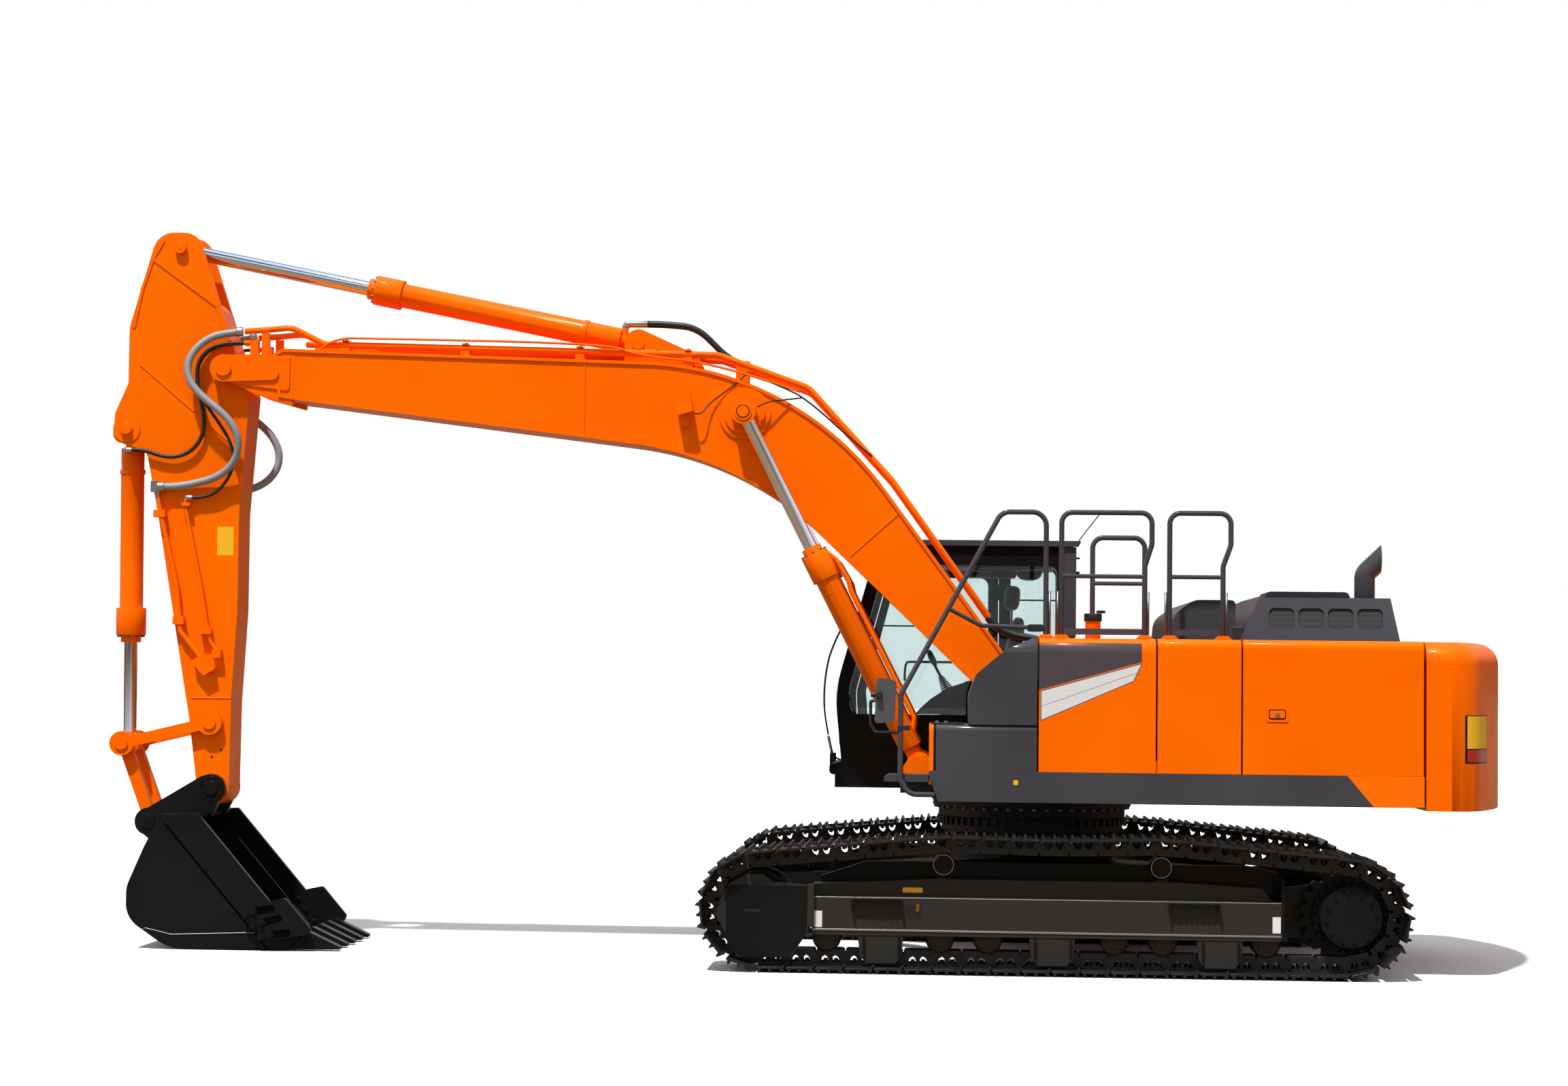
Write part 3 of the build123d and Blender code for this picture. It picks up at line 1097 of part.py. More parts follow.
def arm():
    """Tapered box from the open head with its cylinder lugs to the bucket pin."""
    body = slab([(-6140, 4960), (-5860, 4960), (-5560, 4060), (-5470, 3830), (-5530, 3000),
                 (-5530, 2310), (-5562, 1700), (-5567, 1075), (-5790, 1075), (-5854, 1560),
                 (-6104, 3000), (-6190, 3420), (-6435, 3500), (-6420, 3690), (-6330, 3900),
                 (-6330, 4290)],
                -ARM_WEB, ARM_WEB,
                [150, 130, 80, 60, 400, 400, 400, 20, 20, 400, 600, 80, 60, 60, 80, 200])
    # the head is open between its two side plates, above a slanted plate
    body -= slab([(-6160, 4778), (-5705, 4458), (-5610, 4320), (-5400, 4320), (-5400, 5100),
                  (-6085, 5100), (-6085, 4905)], -LUG_INNER, LUG_INNER)
    pieces = [body, drum(BUCKET_PIN, 115, -ARM_HALF, ARM_HALF)]
    for side in (-1, 1):
        def both(y_low, y_high):
            return sorted((side * y_low, side * y_high))
        for pin, radius in ((BOOM_TIP, 120), (GUIDE_PIVOT, 90), (BUCKET_CYL_FOOT, 95)):
            pieces.append(drum(pin, radius, *both(ARM_WEB - 1, ARM_HALF)))
        pieces.append(drum(ARM_CYL_EYE, 95, *both(SLOT_HALF, LUG_INNER + 1)))
        # edges of the head's front plate and of the slanted plate, welded through the sides
        pieces.append(strip([(-6100, 4905), (-6172, 4780), (-6245, 4560), (-6300, 4290)], 20,
                            *both(ARM_WEB - 1, ARM_HALF)))
        pieces.append(strip([(-6172, 4775), (-5715, 4447), (-5674, 4345), (-5642, 4250)], 20,
                            *both(ARM_WEB - 1, ARM_HALF)))
    shape = union(pieces)
    # slots for the two cylinders' eyes
    shape -= block(-6400, -5790, -SLOT_HALF, SLOT_HALF, 4650, 5000)
    shape -= block(-6500, -6215, -100, 100, 3250, 3800)
    shape -= drum(BOOM_TIP, PIN_RADIUS + CLEAR, -ARM_HALF - 1, ARM_HALF + 1)
    shape -= drum(BUCKET_PIN, PIN_RADIUS + CLEAR, -ARM_HALF - 1, ARM_HALF + 1)
    shape -= drum(GUIDE_PIVOT, PIN_RADIUS + CLEAR, -ARM_HALF - 1, ARM_HALF + 1)
    shape -= drum(BUCKET_CYL_FOOT, PIN_RADIUS + CLEAR, -ARM_HALF - 1, ARM_HALF + 1)
    for side in (-1, 1):
        for hole in BRACKET_HOLES:
            start, end = sorted((side * (ARM_WEB - BRACKET_HOLE_DEPTH), side * (ARM_WEB + 1)))
            shape -= drum(hole, BRACKET_HOLE_RADIUS, start, end)
    return shape


ARM_PIPE = 35
ARM_PIPE_Y = 210
ARM_PIPE_THIN = 24


def arm_pipes(side):
    """Steel lines low on one side of the arm, with their flange, clamps and valve block."""
    y, seat = side * ARM_PIPE_Y, side * (ARM_WEB + CLEAR)

    def at(points):
        return [(x, y, z) for x, z in points]

    def clamp(x_low, x_high, z_low, z_high):
        return block(x_low, x_high, *sorted((seat, side * (ARM_PIPE_Y + 22))), z_low, z_high)
    line = tube(at([(-6095, 3174), (-6099, 3110), (-6080, 3010), (-5952, 2489), (-5930, 2245),
                    (-5917, 2163), (-5801, 2018), (-5760, 1975)]), ARM_PIPE, 50)
    flange = block(-6140, -6096, *sorted((seat, side * (ARM_PIPE_Y + 34))), 3136, 3212)
    elbow = tube(at([(-6098, 3174), (-6050, 3174)]), HOSE_LARGE + 2 * SLEEVE_WALL, 0)
    thin = tube(at([(-5896, 3100), (-5905, 3060), (-5890, 2985), (-5783, 2491), (-5731, 2199),
                    (-5704, 2093), (-5654, 2030)]), ARM_PIPE_THIN, 30)
    thin_end = tube(at([(-5897, 3100), (-5850, 3100)]), HOSE_SMALL + 2 * SLEEVE_WALL, 0)
    valve = slab([(-5760, 2011), (-5667, 1906), (-5748, 1860), (-5832, 1961)],
                 *sorted((seat, side * (ARM_PIPE_Y + 25))), 8)
    small_valve = block(-5690, -5630, *sorted((seat, side * (ARM_PIPE_Y + 20))), 1985, 2045)
    return [union([line, flange, elbow, valve, clamp(-5970, -5895, 2215, 2270),
                   clamp(-6120, -6040, 2960, 3010)]),
            union([thin, thin_end, small_valve, clamp(-5780, -5700, 2150, 2190),
                   clamp(-5925, -5865, 3040, 3065)])]


# threaded holes for a line bracket, low on both sides of the arm: X and Z, radius, depth
BRACKET_HOLES = ((-5625, 1345), (-5690, 1295))
BRACKET_HOLE_RADIUS = 10
BRACKET_HOLE_DEPTH = 40

LINK_INNER = ARM_HALF + GAP


def guide_links():
    pieces = [drum(GUIDE_PIVOT, PIN_RADIUS, -LINK_INNER - 52, LINK_INNER + 52)]
    for side in (-1, 1):
        start, end = sorted((side * LINK_INNER, side * (LINK_INNER + 40)))
        pieces += [drum(GUIDE_PIVOT, 85, start, end), drum(LINK_PIN, 85, start, end),
                   strip([GUIDE_PIVOT, LINK_PIN], 77, start, end),
                   drum(LINK_PIN, PIN_RADIUS, *sorted((end if side > 0 else start,
                                                       side * (LINK_INNER + 52))))]
    return union(pieces)


def bucket_link():
    """H-shaped link: two side bars, a cross tube and the lower eye."""
    pieces = [drum(BUCKET_LINK_PIN, 75, -ARM_HALF, ARM_HALF)]
    pieces.append(drum(LINK_PIN, PIN_RADIUS, -LINK_INNER + CLEAR, -SLOT_HALF))
    pieces.append(drum(LINK_PIN, PIN_RADIUS, SLOT_HALF, LINK_INNER - CLEAR))
    for side in (-1, 1):
        start, end = sorted((side * 100, side * 165))
        pieces += [drum(LINK_PIN, 60, start, end), strip([LINK_PIN, BUCKET_LINK_PIN], 84, start, end)]
    return union(pieces)


# ---------------------------------------------------------------- bucket

EAR_INNER = ARM_HALF + GAP


LIP_TOP = (-4960, 90)           # front edge of the bucket's mouth, inside and outside
LIP_BOTTOM = (-5050, 12)
TOOTH_TIP = (-4692, 12)
LIP_INSIDE = ((-5070, 42), (-4900, 140))        # inner face of the bottom plate at the lip
TIP_X, TIP_Z = -4969, 100       # where that face meets the front edge
TOOTH_COUNT = 5
TOOTH_SPAN = 1040               # from the first tooth's middle to the last one's
BUCKET_OUTLINE = ((-5668, 915), LIP_TOP, LIP_BOTTOM, (-5860, 5), (-6160, 210), (-6160, 420),
                  (-6045, 690), (-5930, 915))


BLADE_WIDTH = 210               # strip along the front edge of each side plate
BLADE_THICK = 8
CUTTER_THICK = 34
# side cutter: distance down the front edge from its top corner, and ahead of that edge
CUTTER = ((730, -175), (735, -50), (820, 105), (1090, 105), (1110, 70), (960, -180))


def front_edge(down, ahead):
    """A point given along and ahead of the side plate's front edge."""
    top = BUCKET_OUTLINE[0]
    run = distance(top, LIP_TOP)
    ux, uz = (LIP_TOP[0] - top[0]) / run, (LIP_TOP[1] - top[1]) / run
    return (top[0] + ux * down - uz * ahead, top[1] + uz * down + ux * ahead)


def bucket():
    """Open shell of one curved plate between two side plates, with ears on top."""
    wall = 30
    radii = [10, 4, 4, 330, 200, 200, 60, 10]
    outer = slab(BUCKET_OUTLINE, -BUCKET_HALF, BUCKET_HALF, radii)
    inner_points = [(-5640, 1000), LIP_INSIDE[1], LIP_INSIDE[0], (-5860, 5 + wall),
                    (-6160 + wall, 225), (-6160 + wall, 415), (-6045 + wall, 680), (-5900, 880),
                    (-5700, 885)]
    hollow = slab(inner_points, -BUCKET_HALF + wall, BUCKET_HALF - wall,
                  [10, 10, 20, 300, 170, 170, 60, 20, 10])
    shell = outer - hollow
    pieces = [shell]
    for side in (-1, 1):
        # wear strip and bolted side cutter
        inner_face, blade_face = BUCKET_HALF - 1, BUCKET_HALF + BLADE_THICK
        blade = slab([front_edge(-300, 200), front_edge(1400, 200), front_edge(1400, -BLADE_WIDTH),
                      front_edge(-300, -BLADE_WIDTH)], *sorted((side * inner_face, side * blade_face)))
        pieces.append(blade & slab(BUCKET_OUTLINE, *sorted((side * inner_face, side * blade_face)), radii))
        pieces.append(slab([front_edge(*point) for point in CUTTER],
                           *sorted((side * (blade_face - 1), side * (blade_face + CUTTER_THICK))),
                           [15, 40, 30, 20, 10, 15]))
        start, end = sorted((side * EAR_INNER, side * (EAR_INNER + 40)))
        ear = slab([(-5580, 1080), (-5600, 1165), (-5740, 1170), (-6190, 900), (-6200, 800),
                    (-6060, 690), (-5930, 885), (-5668, 885)], start, end,
                   [80, 60, 60, 60, 60, 20, 5, 5])
        pieces += [ear, drum(BUCKET_PIN, 100, start, end),
                   drum(BUCKET_LINK_PIN, 95, start, end)]
    shape = union(pieces)
    shape -= drum(BUCKET_PIN, PIN_RADIUS, -EAR_INNER - 60, EAR_INNER + 60)
    return shape


def bucket_pin():
    return drum(BUCKET_PIN, PIN_RADIUS, -EAR_INNER - 55, EAR_INNER + 55)


def bucket_teeth():
    """Wedge-shaped teeth that seat on the lip's front face."""
    run = distance(LIP_TOP, LIP_BOTTOM)
    off_x = (LIP_TOP[1] - LIP_BOTTOM[1]) / run * CLEAR
    off_z = -(LIP_TOP[0] - LIP_BOTTOM[0]) / run * CLEAR
    # the leg over the lip lies on the inner face of the bucket's bottom plate
    (back_x, back_z), (ahead_x, ahead_z) = LIP_INSIDE
    slope = distance((back_x, back_z), (ahead_x, ahead_z))
    ux, uz = (ahead_x - back_x) / slope, (ahead_z - back_z) / slope

    def over_lip(reach, height):
        """A point over the lip's inner face, at a distance behind its front edge."""
        return (TIP_X - ux * reach - uz * height, TIP_Z - uz * reach + ux * height)
    profile = [(LIP_TOP[0] + 2 * off_x, LIP_TOP[1] + off_z / 2),
               (LIP_BOTTOM[0] + off_x, LIP_BOTTOM[1] + off_z),
               TOOTH_TIP, (TOOTH_TIP[0] - 3, TOOTH_TIP[1] + 20), over_lip(-50, 22),
               over_lip(20, 26), over_lip(100, 18), over_lip(100, 2 * CLEAR), over_lip(-0.5, 2 * CLEAR)]
    teeth = []
    for number in range(TOOTH_COUNT):
        y = (number / (TOOTH_COUNT - 1) - 0.5) * TOOTH_SPAN
        teeth.append(slab(profile, y - 45, y + 45))
    return teeth


# ---------------------------------------------------------------- doors

def pump_door():
    return side_panel(-1, MIDDLE_REAR + SEAM / 2, DOOR_REAR - SEAM / 2)


def radiator_door():
    return side_panel(1, CAB_REAR + 60, MIDDLE_REAR - SEAM / 2)


def parts():
    """Every node of the machine, as name: list of solids."""
    sides = {"left": -1, "right": 1}
    nodes = {"centre_frame": [centre_frame()], "swing_gear": [swing_gear()]}
    for name, side in sides.items():
        nodes[f"track_{name}"] = [track(side)]
        nodes[f"track_frame_{name}"] = [track_frame(side)]
    nodes["idlers"] = [idler(side) for side in (-1, 1)]
    nodes["sprockets"] = [sprocket(side) for side in (-1, 1)]
    nodes["travel_motors"] = [travel_motor(side) for side in (-1, 1)]
    nodes["lower_rollers"] = [lower_roller(side, x) for side in (-1, 1) for x in ROLLER_X]
    nodes["carrier_rollers"] = [carrier_roller(side, x) for side in (-1, 1) for x in CARRIER_X]

    nodes["swing_ring"] = [swing_ring()]
    nodes["revolving_frame"] = [revolving_frame()]
    nodes["side_skirts"] = [side_skirt(side) for side in (-1, 1)]
    nodes["storage_box"] = [storage_box()]
    nodes["tank_cover"] = [tank_cover()]
    nodes["tank"] = [closed_side(-1, TANK_SEAM + SEAM / 2, TANK_REAR - SEAM / 2)]
    nodes["side_panels"] = [side_panel(-1, TANK_REAR + SEAM / 2, MIDDLE_REAR - SEAM / 2),
                            side_panel(1, MIDDLE_REAR + SEAM / 2, DOOR_REAR - SEAM / 2)]
    nodes["deck_plate"] = [deck_plate()]
    nodes["counterweight"] = [counterweight()]
    nodes["cooler_hood"] = [cooler_hood()]
    nodes["engine_block"] = [engine_block()]
    nodes["radiator"] = [radiator()]
    nodes["oil_filler"] = [filler()]
    nodes["handrails"] = handrails()
    nodes["mirror"] = [mirror_and_arm()]
    nodes["front_step"] = [front_step()]
    nodes["cab_shell"] = [cab_shell()]
    nodes["cab_glass"] = cab_glass() + [windscreen()]
    nodes["operator_chair"] = [operator_chair()]
    nodes["controls"] = controls()
    nodes["boom_foot_pin"] = [boom_foot_pin()]

    nodes["engine_hood"] = [engine_hood()]
    nodes["exhaust"] = [exhaust()]
    nodes["pump_door"] = [pump_door()]
    nodes["radiator_door"] = [radiator_door()]
    nodes["cab_door"] = [cab_door()]
    nodes["cab_door_glass"] = [cab_door_glass()]

    nodes["boom"] = [boom()]
    nodes["boom_pipes"] = boom_pipes()
    nodes["work_lamp"] = [work_lamp()]
    nodes["arm_pivot_pin"] = [arm_pivot_pin()]
    boom_cyl, arm_cyl, bucket_cyl = (CYLINDERS[name] for name in ("boom", "arm", "bucket"))
    nodes["boom_cylinder_barrels"] = [
        union([barrel(boom_cyl, side * CYL_OFFSET), foot_pin(boom_cyl, side * CYL_OFFSET, 80),
               barrel_line(boom_cyl, side * CYL_OFFSET)])
        for side in (-1, 1)]
    nodes["boom_cylinder_rods"] = [rod(boom_cyl, side * CYL_OFFSET, -51, 51) for side in (-1, 1)]
    nodes["arm_cylinder_barrel"] = [union([barrel(arm_cyl), foot_pin(arm_cyl, 0, 107)]
                                          + [band(arm_cyl, 390) - bore(arm_cyl, 390)]
                                          + arm_cylinder_elbows())]
    stub = SLOT_HALF - CLEAR
    nodes["arm_cylinder_rod"] = [rod(arm_cyl, 0, -stub, stub)]
    nodes["arm"] = [arm()]
    nodes["arm_pipes"] = arm_pipes(-1) + arm_pipes(1)
    routes = hose_routes()
    nodes["arm_hoses_left"] = [hose(points, diameter) for diameter, points in routes["left"]]
    nodes["arm_hoses_right"] = [hose(points, diameter) for diameter, points in routes["right"]]
    nodes["bucket_cylinder_hose"] = [hose(points, diameter) for diameter, points in routes["bucket"]]
    nodes["arm_cylinder_hoses"] = [hose(points, HOSE_CYLINDER) for points in cylinder_hose_routes()]
    nodes["boom_foot_hoses"] = [hose(points, HOSE_FOOT) for points in foot_hose_routes()]
    nodes["bucket_cylinder_barrel"] = [union([barrel(bucket_cyl), foot_pin(bucket_cyl, 0, ARM_HALF),
                                              band(bucket_cyl, 290) - bore(bucket_cyl, 290),
                                              bucket_cylinder_elbow()])]
    nodes["bucket_cylinder_rod"] = [rod(bucket_cyl, 0, -stub, stub)]
    nodes["guide_links"] = [guide_links()]
    nodes["bucket_link"] = [bucket_link()]
    nodes["bucket"] = [bucket()]
    nodes["bucket_pin"] = [bucket_pin()]
    nodes["bucket_teeth"] = bucket_teeth()
    return nodes


def solids_of(shapes):
    found = []
    for shape in shapes:
        found += list(shape.solids())
    return found


def shift_of(nodes):
    """From the building frame to the frame with its origin under the machine's middle."""
    box = Compound(list(nodes.values())).bounding_box()
    return Vector(-(box.min.X + box.max.X) / 2, -(box.min.Y + box.max.Y) / 2, -box.min.Z)


def main():
    os.makedirs("parts", exist_ok=True)
    nodes = {name: Compound(solids_of(shapes)) for name, shapes in parts().items()}
    shift = shift_of(nodes)
    for name, shape in nodes.items():
        export_step(Pos(shift) * shape, f"parts/{name}.step")
    print("nodes", len(nodes), "shift", shift)
    print("hoses, diameter and tightest bend:", HOSE_RADII)


if __name__ == "__main__":
    main()
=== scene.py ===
# %% [markdown]
# # A crawler excavator, dressed
#
# The machine's steel comes ready made, as one mesh for each piece. This lesson gives each
# piece the surface that the real one has, and adds what is too fine or too soft for solid
# modelling: bolts, weld beads, hoses, labels and the cab's furniture. Every length is in
# metres. The machine faces -X, its left side is towards -Y, and the ground is at Z = 0.

# %% Load the frame
import json
import math

import bmesh
import bpy
from mathutils import Matrix, Vector


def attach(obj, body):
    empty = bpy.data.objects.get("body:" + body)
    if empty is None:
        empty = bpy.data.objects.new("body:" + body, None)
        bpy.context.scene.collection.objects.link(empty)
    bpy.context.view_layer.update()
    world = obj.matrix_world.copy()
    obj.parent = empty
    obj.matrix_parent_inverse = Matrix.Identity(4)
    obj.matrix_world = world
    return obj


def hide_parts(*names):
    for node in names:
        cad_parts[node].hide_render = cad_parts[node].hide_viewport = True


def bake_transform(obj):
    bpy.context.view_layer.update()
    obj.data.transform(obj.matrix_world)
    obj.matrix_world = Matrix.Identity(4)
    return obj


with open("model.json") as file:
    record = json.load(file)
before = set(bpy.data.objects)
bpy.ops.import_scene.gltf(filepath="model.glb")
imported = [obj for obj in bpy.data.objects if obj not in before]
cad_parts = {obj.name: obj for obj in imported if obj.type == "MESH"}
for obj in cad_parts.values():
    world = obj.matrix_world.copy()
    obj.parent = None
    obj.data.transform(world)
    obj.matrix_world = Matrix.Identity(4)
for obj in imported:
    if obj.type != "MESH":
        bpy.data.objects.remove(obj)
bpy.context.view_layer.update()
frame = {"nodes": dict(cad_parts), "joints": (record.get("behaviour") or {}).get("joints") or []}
nodes = frame["nodes"]
# The solid modeller built the machine round its swing axis. One joint stands on that axis,
# so its place turns building lengths into this frame.
swing = next(joint for joint in frame["joints"] if joint["name"] == "swing")
SWING_X = swing["pos_m"][0]


def at(x, y, z):
    """A point measured from the swing axis, in this frame."""
    return Vector((x + SWING_X, y, z))


# %% [markdown]
# ## Colours and nodes
#
# Paint makers give colours as sRGB hex values, and a shader works in linear light, so one
# function turns one into the other. A second function adds a node, sets its inputs and
# links it. All materials below are written with these two.

# %% Colour and node helpers
def linear(code, alpha=1.0):
    """An sRGB hex colour as linear RGBA."""
    channels = [int(code[i:i + 2], 16) / 255 for i in (1, 3, 5)]
    return [c / 12.92 if c <= 0.04045 else ((c + 0.055) / 1.055) ** 2.4 for c in channels] + [alpha]


def add(tree, kind, inputs=None, **settings):
    """Adds a node. An input is a value, or an output socket to link from."""
    node = tree.nodes.new(kind)
    for name, value in settings.items():
        setattr(node, name, value)
    for name, value in (inputs or {}).items():
        socket = node.inputs[name]
        if isinstance(value, bpy.types.NodeSocket):
            tree.links.new(value, socket)
        else:
            socket.default_value = value
    return node


def surface(name, **inputs):
    """A material with one Principled shader; returns the material, its tree and the shader."""
    material = bpy.data.materials.new(name)
    material.use_nodes = True
    tree = material.node_tree
    shader = tree.nodes["Principled BSDF"]
    for socket, value in inputs.items():
        shader.inputs[socket.replace("_", " ")].default_value = value
    return material, tree, shader


def position(tree, scale=(1, 1, 1)):
    """Object coordinates, stretched by a scale."""
    coordinates = add(tree, "ShaderNodeTexCoord").outputs["Object"]
    return add(tree, "ShaderNodeMapping", {"Vector": coordinates, "Scale": scale}).outputs["Vector"]


def compute(tree, operation, *values, **settings):
    """The result of a Math node; a value is a number, or an output socket."""
    return add(tree, "ShaderNodeMath", dict(enumerate(values)), operation=operation, **settings).outputs[0]


def noise(tree, size_mm, detail=3.0, scale=(1, 1, 1)):
    """Noise whose features are about size_mm across."""
    return add(tree, "ShaderNodeTexNoise", {"Vector": position(tree, scale), "Scale": 1000 / size_mm,
                                            "Detail": detail}).outputs["Fac"]


def ramp(tree, factor, low, high, start, end):
    """Maps a factor between low and high to values or colours start to end."""
    between = {"Value": factor, "From Min": low, "From Max": high}
    if isinstance(start, (int, float)):
        between.update({"To Min": start, "To Max": end})
        return add(tree, "ShaderNodeMapRange", between).outputs["Result"]
    share = add(tree, "ShaderNodeMapRange", between).outputs["Result"]
    mix = add(tree, "ShaderNodeMix", {"Factor": share}, data_type="RGBA")
    mix.inputs["A"].default_value, mix.inputs["B"].default_value = start, end
    return mix.outputs["Result"]


def bump(tree, shader, height, depth_mm):
    """Lets a height pattern of a given depth turn the surface's shading."""
    node = add(tree, "ShaderNodeBump", {"Height": height, "Distance": depth_mm / 1000})
    tree.links.new(node.outputs["Normal"], shader.inputs["Normal"])


# %% [markdown]
# ## Machine enamel
#
# Construction machines are sprayed with two-pack polyurethane enamel over shot-blasted
# plate. It dries with a faint orange peel, a few millimetres from wave to wave, and dust
# dulls it in patches. So one wide noise mixes in a second shade, a finer one steers the
# roughness, and a shallow bump carries the peel. One function sprays every colour.

# %% Enamel
PATCH_MM, DUST_MM, PEEL_MM = 900, 160, 7    # how wide the patches, the dust and the peel are
PEEL_DEPTH_MM = 0.05


def enamel(name, colour, shade, roughness, coat=0.25):
    """Sprayed enamel: colour on most of the surface, shade where it lies thin or dusty."""
    material, tree, shader = surface(name, Coat_Weight=coat, Coat_Roughness=0.12,
                                     Specular_IOR_Level=0.35, Specular_Tint=linear(colour))
    patches = ramp(tree, noise(tree, PATCH_MM, 2), 0.35, 0.7, linear(colour), linear(shade))
    tree.links.new(patches, shader.inputs["Base Color"])
    dust = ramp(tree, noise(tree, DUST_MM, 4), 0.3, 0.75, roughness - 0.05, roughness + 0.08)
    tree.links.new(dust, shader.inputs["Roughness"])
    bump(tree, shader, noise(tree, PEEL_MM, 2), PEEL_DEPTH_MM)
    return material


ORANGE = "#FF6F00"
orange_paint = enamel("orange_enamel", ORANGE, "#FA6600", 0.36, coat=0.08)
grey_paint = enamel("dark_grey_enamel", "#47464B", "#3F3E43", 0.34)
black_paint = enamel("black_enamel", "#141416", "#1A1A1C", 0.30)
# The track frames get a lighter black than the other black parts: painted light, standing in for the light
# that the ground throws back onto their sides.
painted_bounce_frame_paint = enamel("track_frame_enamel_painted_bounce", "#2E2D2C", "#343230", 0.42)
print("enamels mixed")

# %% [markdown]
# ## Steel, chrome, glass and rubber
#
# Cylinder rods are ground and hard chromed, so they mirror the sky along one sharp line.
# Track shoes are forged and dipped in thin black paint that stays matt. Glass is safety
# glass with a grey-green body tint. Rubber and moulded plastic are dark and dull.

# %% Finishes with a grain
chrome, tree, shader = surface("hard_chrome", Base_Color=linear("#E4E6EA"), Metallic=1.0,
                               Roughness=0.12)
lapped = noise(tree, 3, 2, (1, 0.1, 1))
tree.links.new(ramp(tree, lapped, 0.3, 0.7, 0.08, 0.16), shader.inputs["Roughness"])

forged, tree, shader = surface("forged_steel", Base_Color=linear("#19191A"), Roughness=0.36)
scale_marks = ramp(tree, noise(tree, 60, 4), 0.35, 0.75, linear("#161617"), linear("#262628"))
tree.links.new(scale_marks, shader.inputs["Base Color"])
bump(tree, shader, noise(tree, 9, 4), 0.5)

mesh_screen, tree, shader = surface("perforated_screen", Base_Color=linear("#17181A"), Roughness=0.6)
cells = add(tree, "ShaderNodeTexVoronoi", {"Vector": position(tree), "Scale": 130.0, "Randomness": 0.0})
# The holes are painted near-black: painted shade of the dark space behind the screen.
hole_shade = ramp(tree, cells.outputs["Distance"], 0.30, 0.42, linear("#050506"), linear("#2B2C30"))
tree.links.new(hole_shade, shader.inputs["Base Color"])


def grained(name, colour, roughness, grain_mm, detail, depth_mm, **inputs):
    """A finish with one colour and a fine bump."""
    material, tree, shader = surface(name, Base_Color=linear(colour), Roughness=roughness, **inputs)
    bump(tree, shader, noise(tree, grain_mm, detail), depth_mm)
    return material


bare_steel = grained("turned_steel", "#7B7B7E", 0.4, 2, 2, 0.1, Metallic=1.0)
cast = grained("cast_iron", "#333336", 0.62, 5, 3, 0.4, Metallic=0.4)
plastic = grained("moulded_plastic", "#1D1E20", 0.5, 1.5, 2, 0.08)
cloth = grained("woven_cloth", "#26272A", 0.9, 3, 2, 0.4, Sheen_Weight=0.3)
zinc = grained("zinc_plate", "#B9BABD", 0.32, 3, 2, 0.06, Metallic=1.0)


# %% Smooth finishes
def plain(name, colour, roughness, **inputs):
    return surface(name, Base_Color=linear(colour), Roughness=roughness, **inputs)[0]


mirror_back = plain("mirror_housing", "#4A4D50", 0.45)
lining = plain("cab_lining", "#101213", 0.7)
# near-black and matt: painted shade, laid as thin sheets where pockets and openings are
recess_shade = plain("painted_recess_shade", "#030303", 0.95, Specular_IOR_Level=0.05)
glass = plain("tinted_glass", "#E6F2F1", 0.01, Transmission_Weight=1.0, IOR=1.45)
rubber = plain("hose_rubber", "#161618", 0.5)
sleeve_grey = plain("hose_guard", "#8E9094", 0.4)
brass = plain("brass", "#B8862F", 0.35, Metallic=1.0)
white_label = plain("blank_white_label", "#E6E6E4", 0.45)
yellow_label = plain("blank_yellow_label", "#F2B705", 0.45)
red_lens = plain("red_reflector", "#B01212", 0.2, Coat_Weight=0.6)

# %% [markdown]
# ## Paint bands by place
#
# The tank and the skirt carry painted bands with straight edges. A painter masks them with
# tape; here each tape line is a straight line in side view, and a point belongs to a band
# when it lies on the right side of every line. The colours are then mixed by that mask.
# One thin grey line on the tank is painted shade along a fold of its panel.

# %% Bands
def inside(tree, lines):
    """1 where a * x + b * z + c is above zero for every line, measured from the swing axis."""
    spot = add(tree, "ShaderNodeSeparateXYZ", {"Vector": position(tree)}).outputs
    mask = 1.0
    for a, b, c in lines:
        across = compute(tree, "MULTIPLY_ADD", spot["X"], a, c - a * SWING_X)
        value = compute(tree, "MULTIPLY_ADD", spot["Z"], b, across)
        mask = compute(tree, "MULTIPLY", mask, compute(tree, "GREATER_THAN", value, 0.0))
    return mask


def banded(base, name, bands):
    """A copy of an enamel with bands of other colours, each given by its lines."""
    material = base.copy()
    material.name = name
    tree = material.node_tree
    shader = tree.nodes["Principled BSDF"]
    colour = shader.inputs["Base Color"].links[0].from_socket
    for code, lines in bands:
        mix = add(tree, "ShaderNodeMix", {"Factor": inside(tree, lines)}, data_type="RGBA")
        tree.links.new(colour, mix.inputs["A"])
        mix.inputs["B"].default_value = linear(code)
        colour = mix.outputs["Result"]
    tree.links.new(colour, shader.inputs["Base Color"])
    return material


def above(x0, z0, x1, z1, way=1):
    """The line through two points, as a, b, c; above it is inside, or below it with way -1."""
    slope = (z1 - z0) / (x1 - x0)
    return (-slope * way, way, (slope * x0 - z0) * way)


def beyond(x, way=1):
    """The upright line at x; inside is behind it, or in front with way -1."""
    return (way, 0, -x * way)


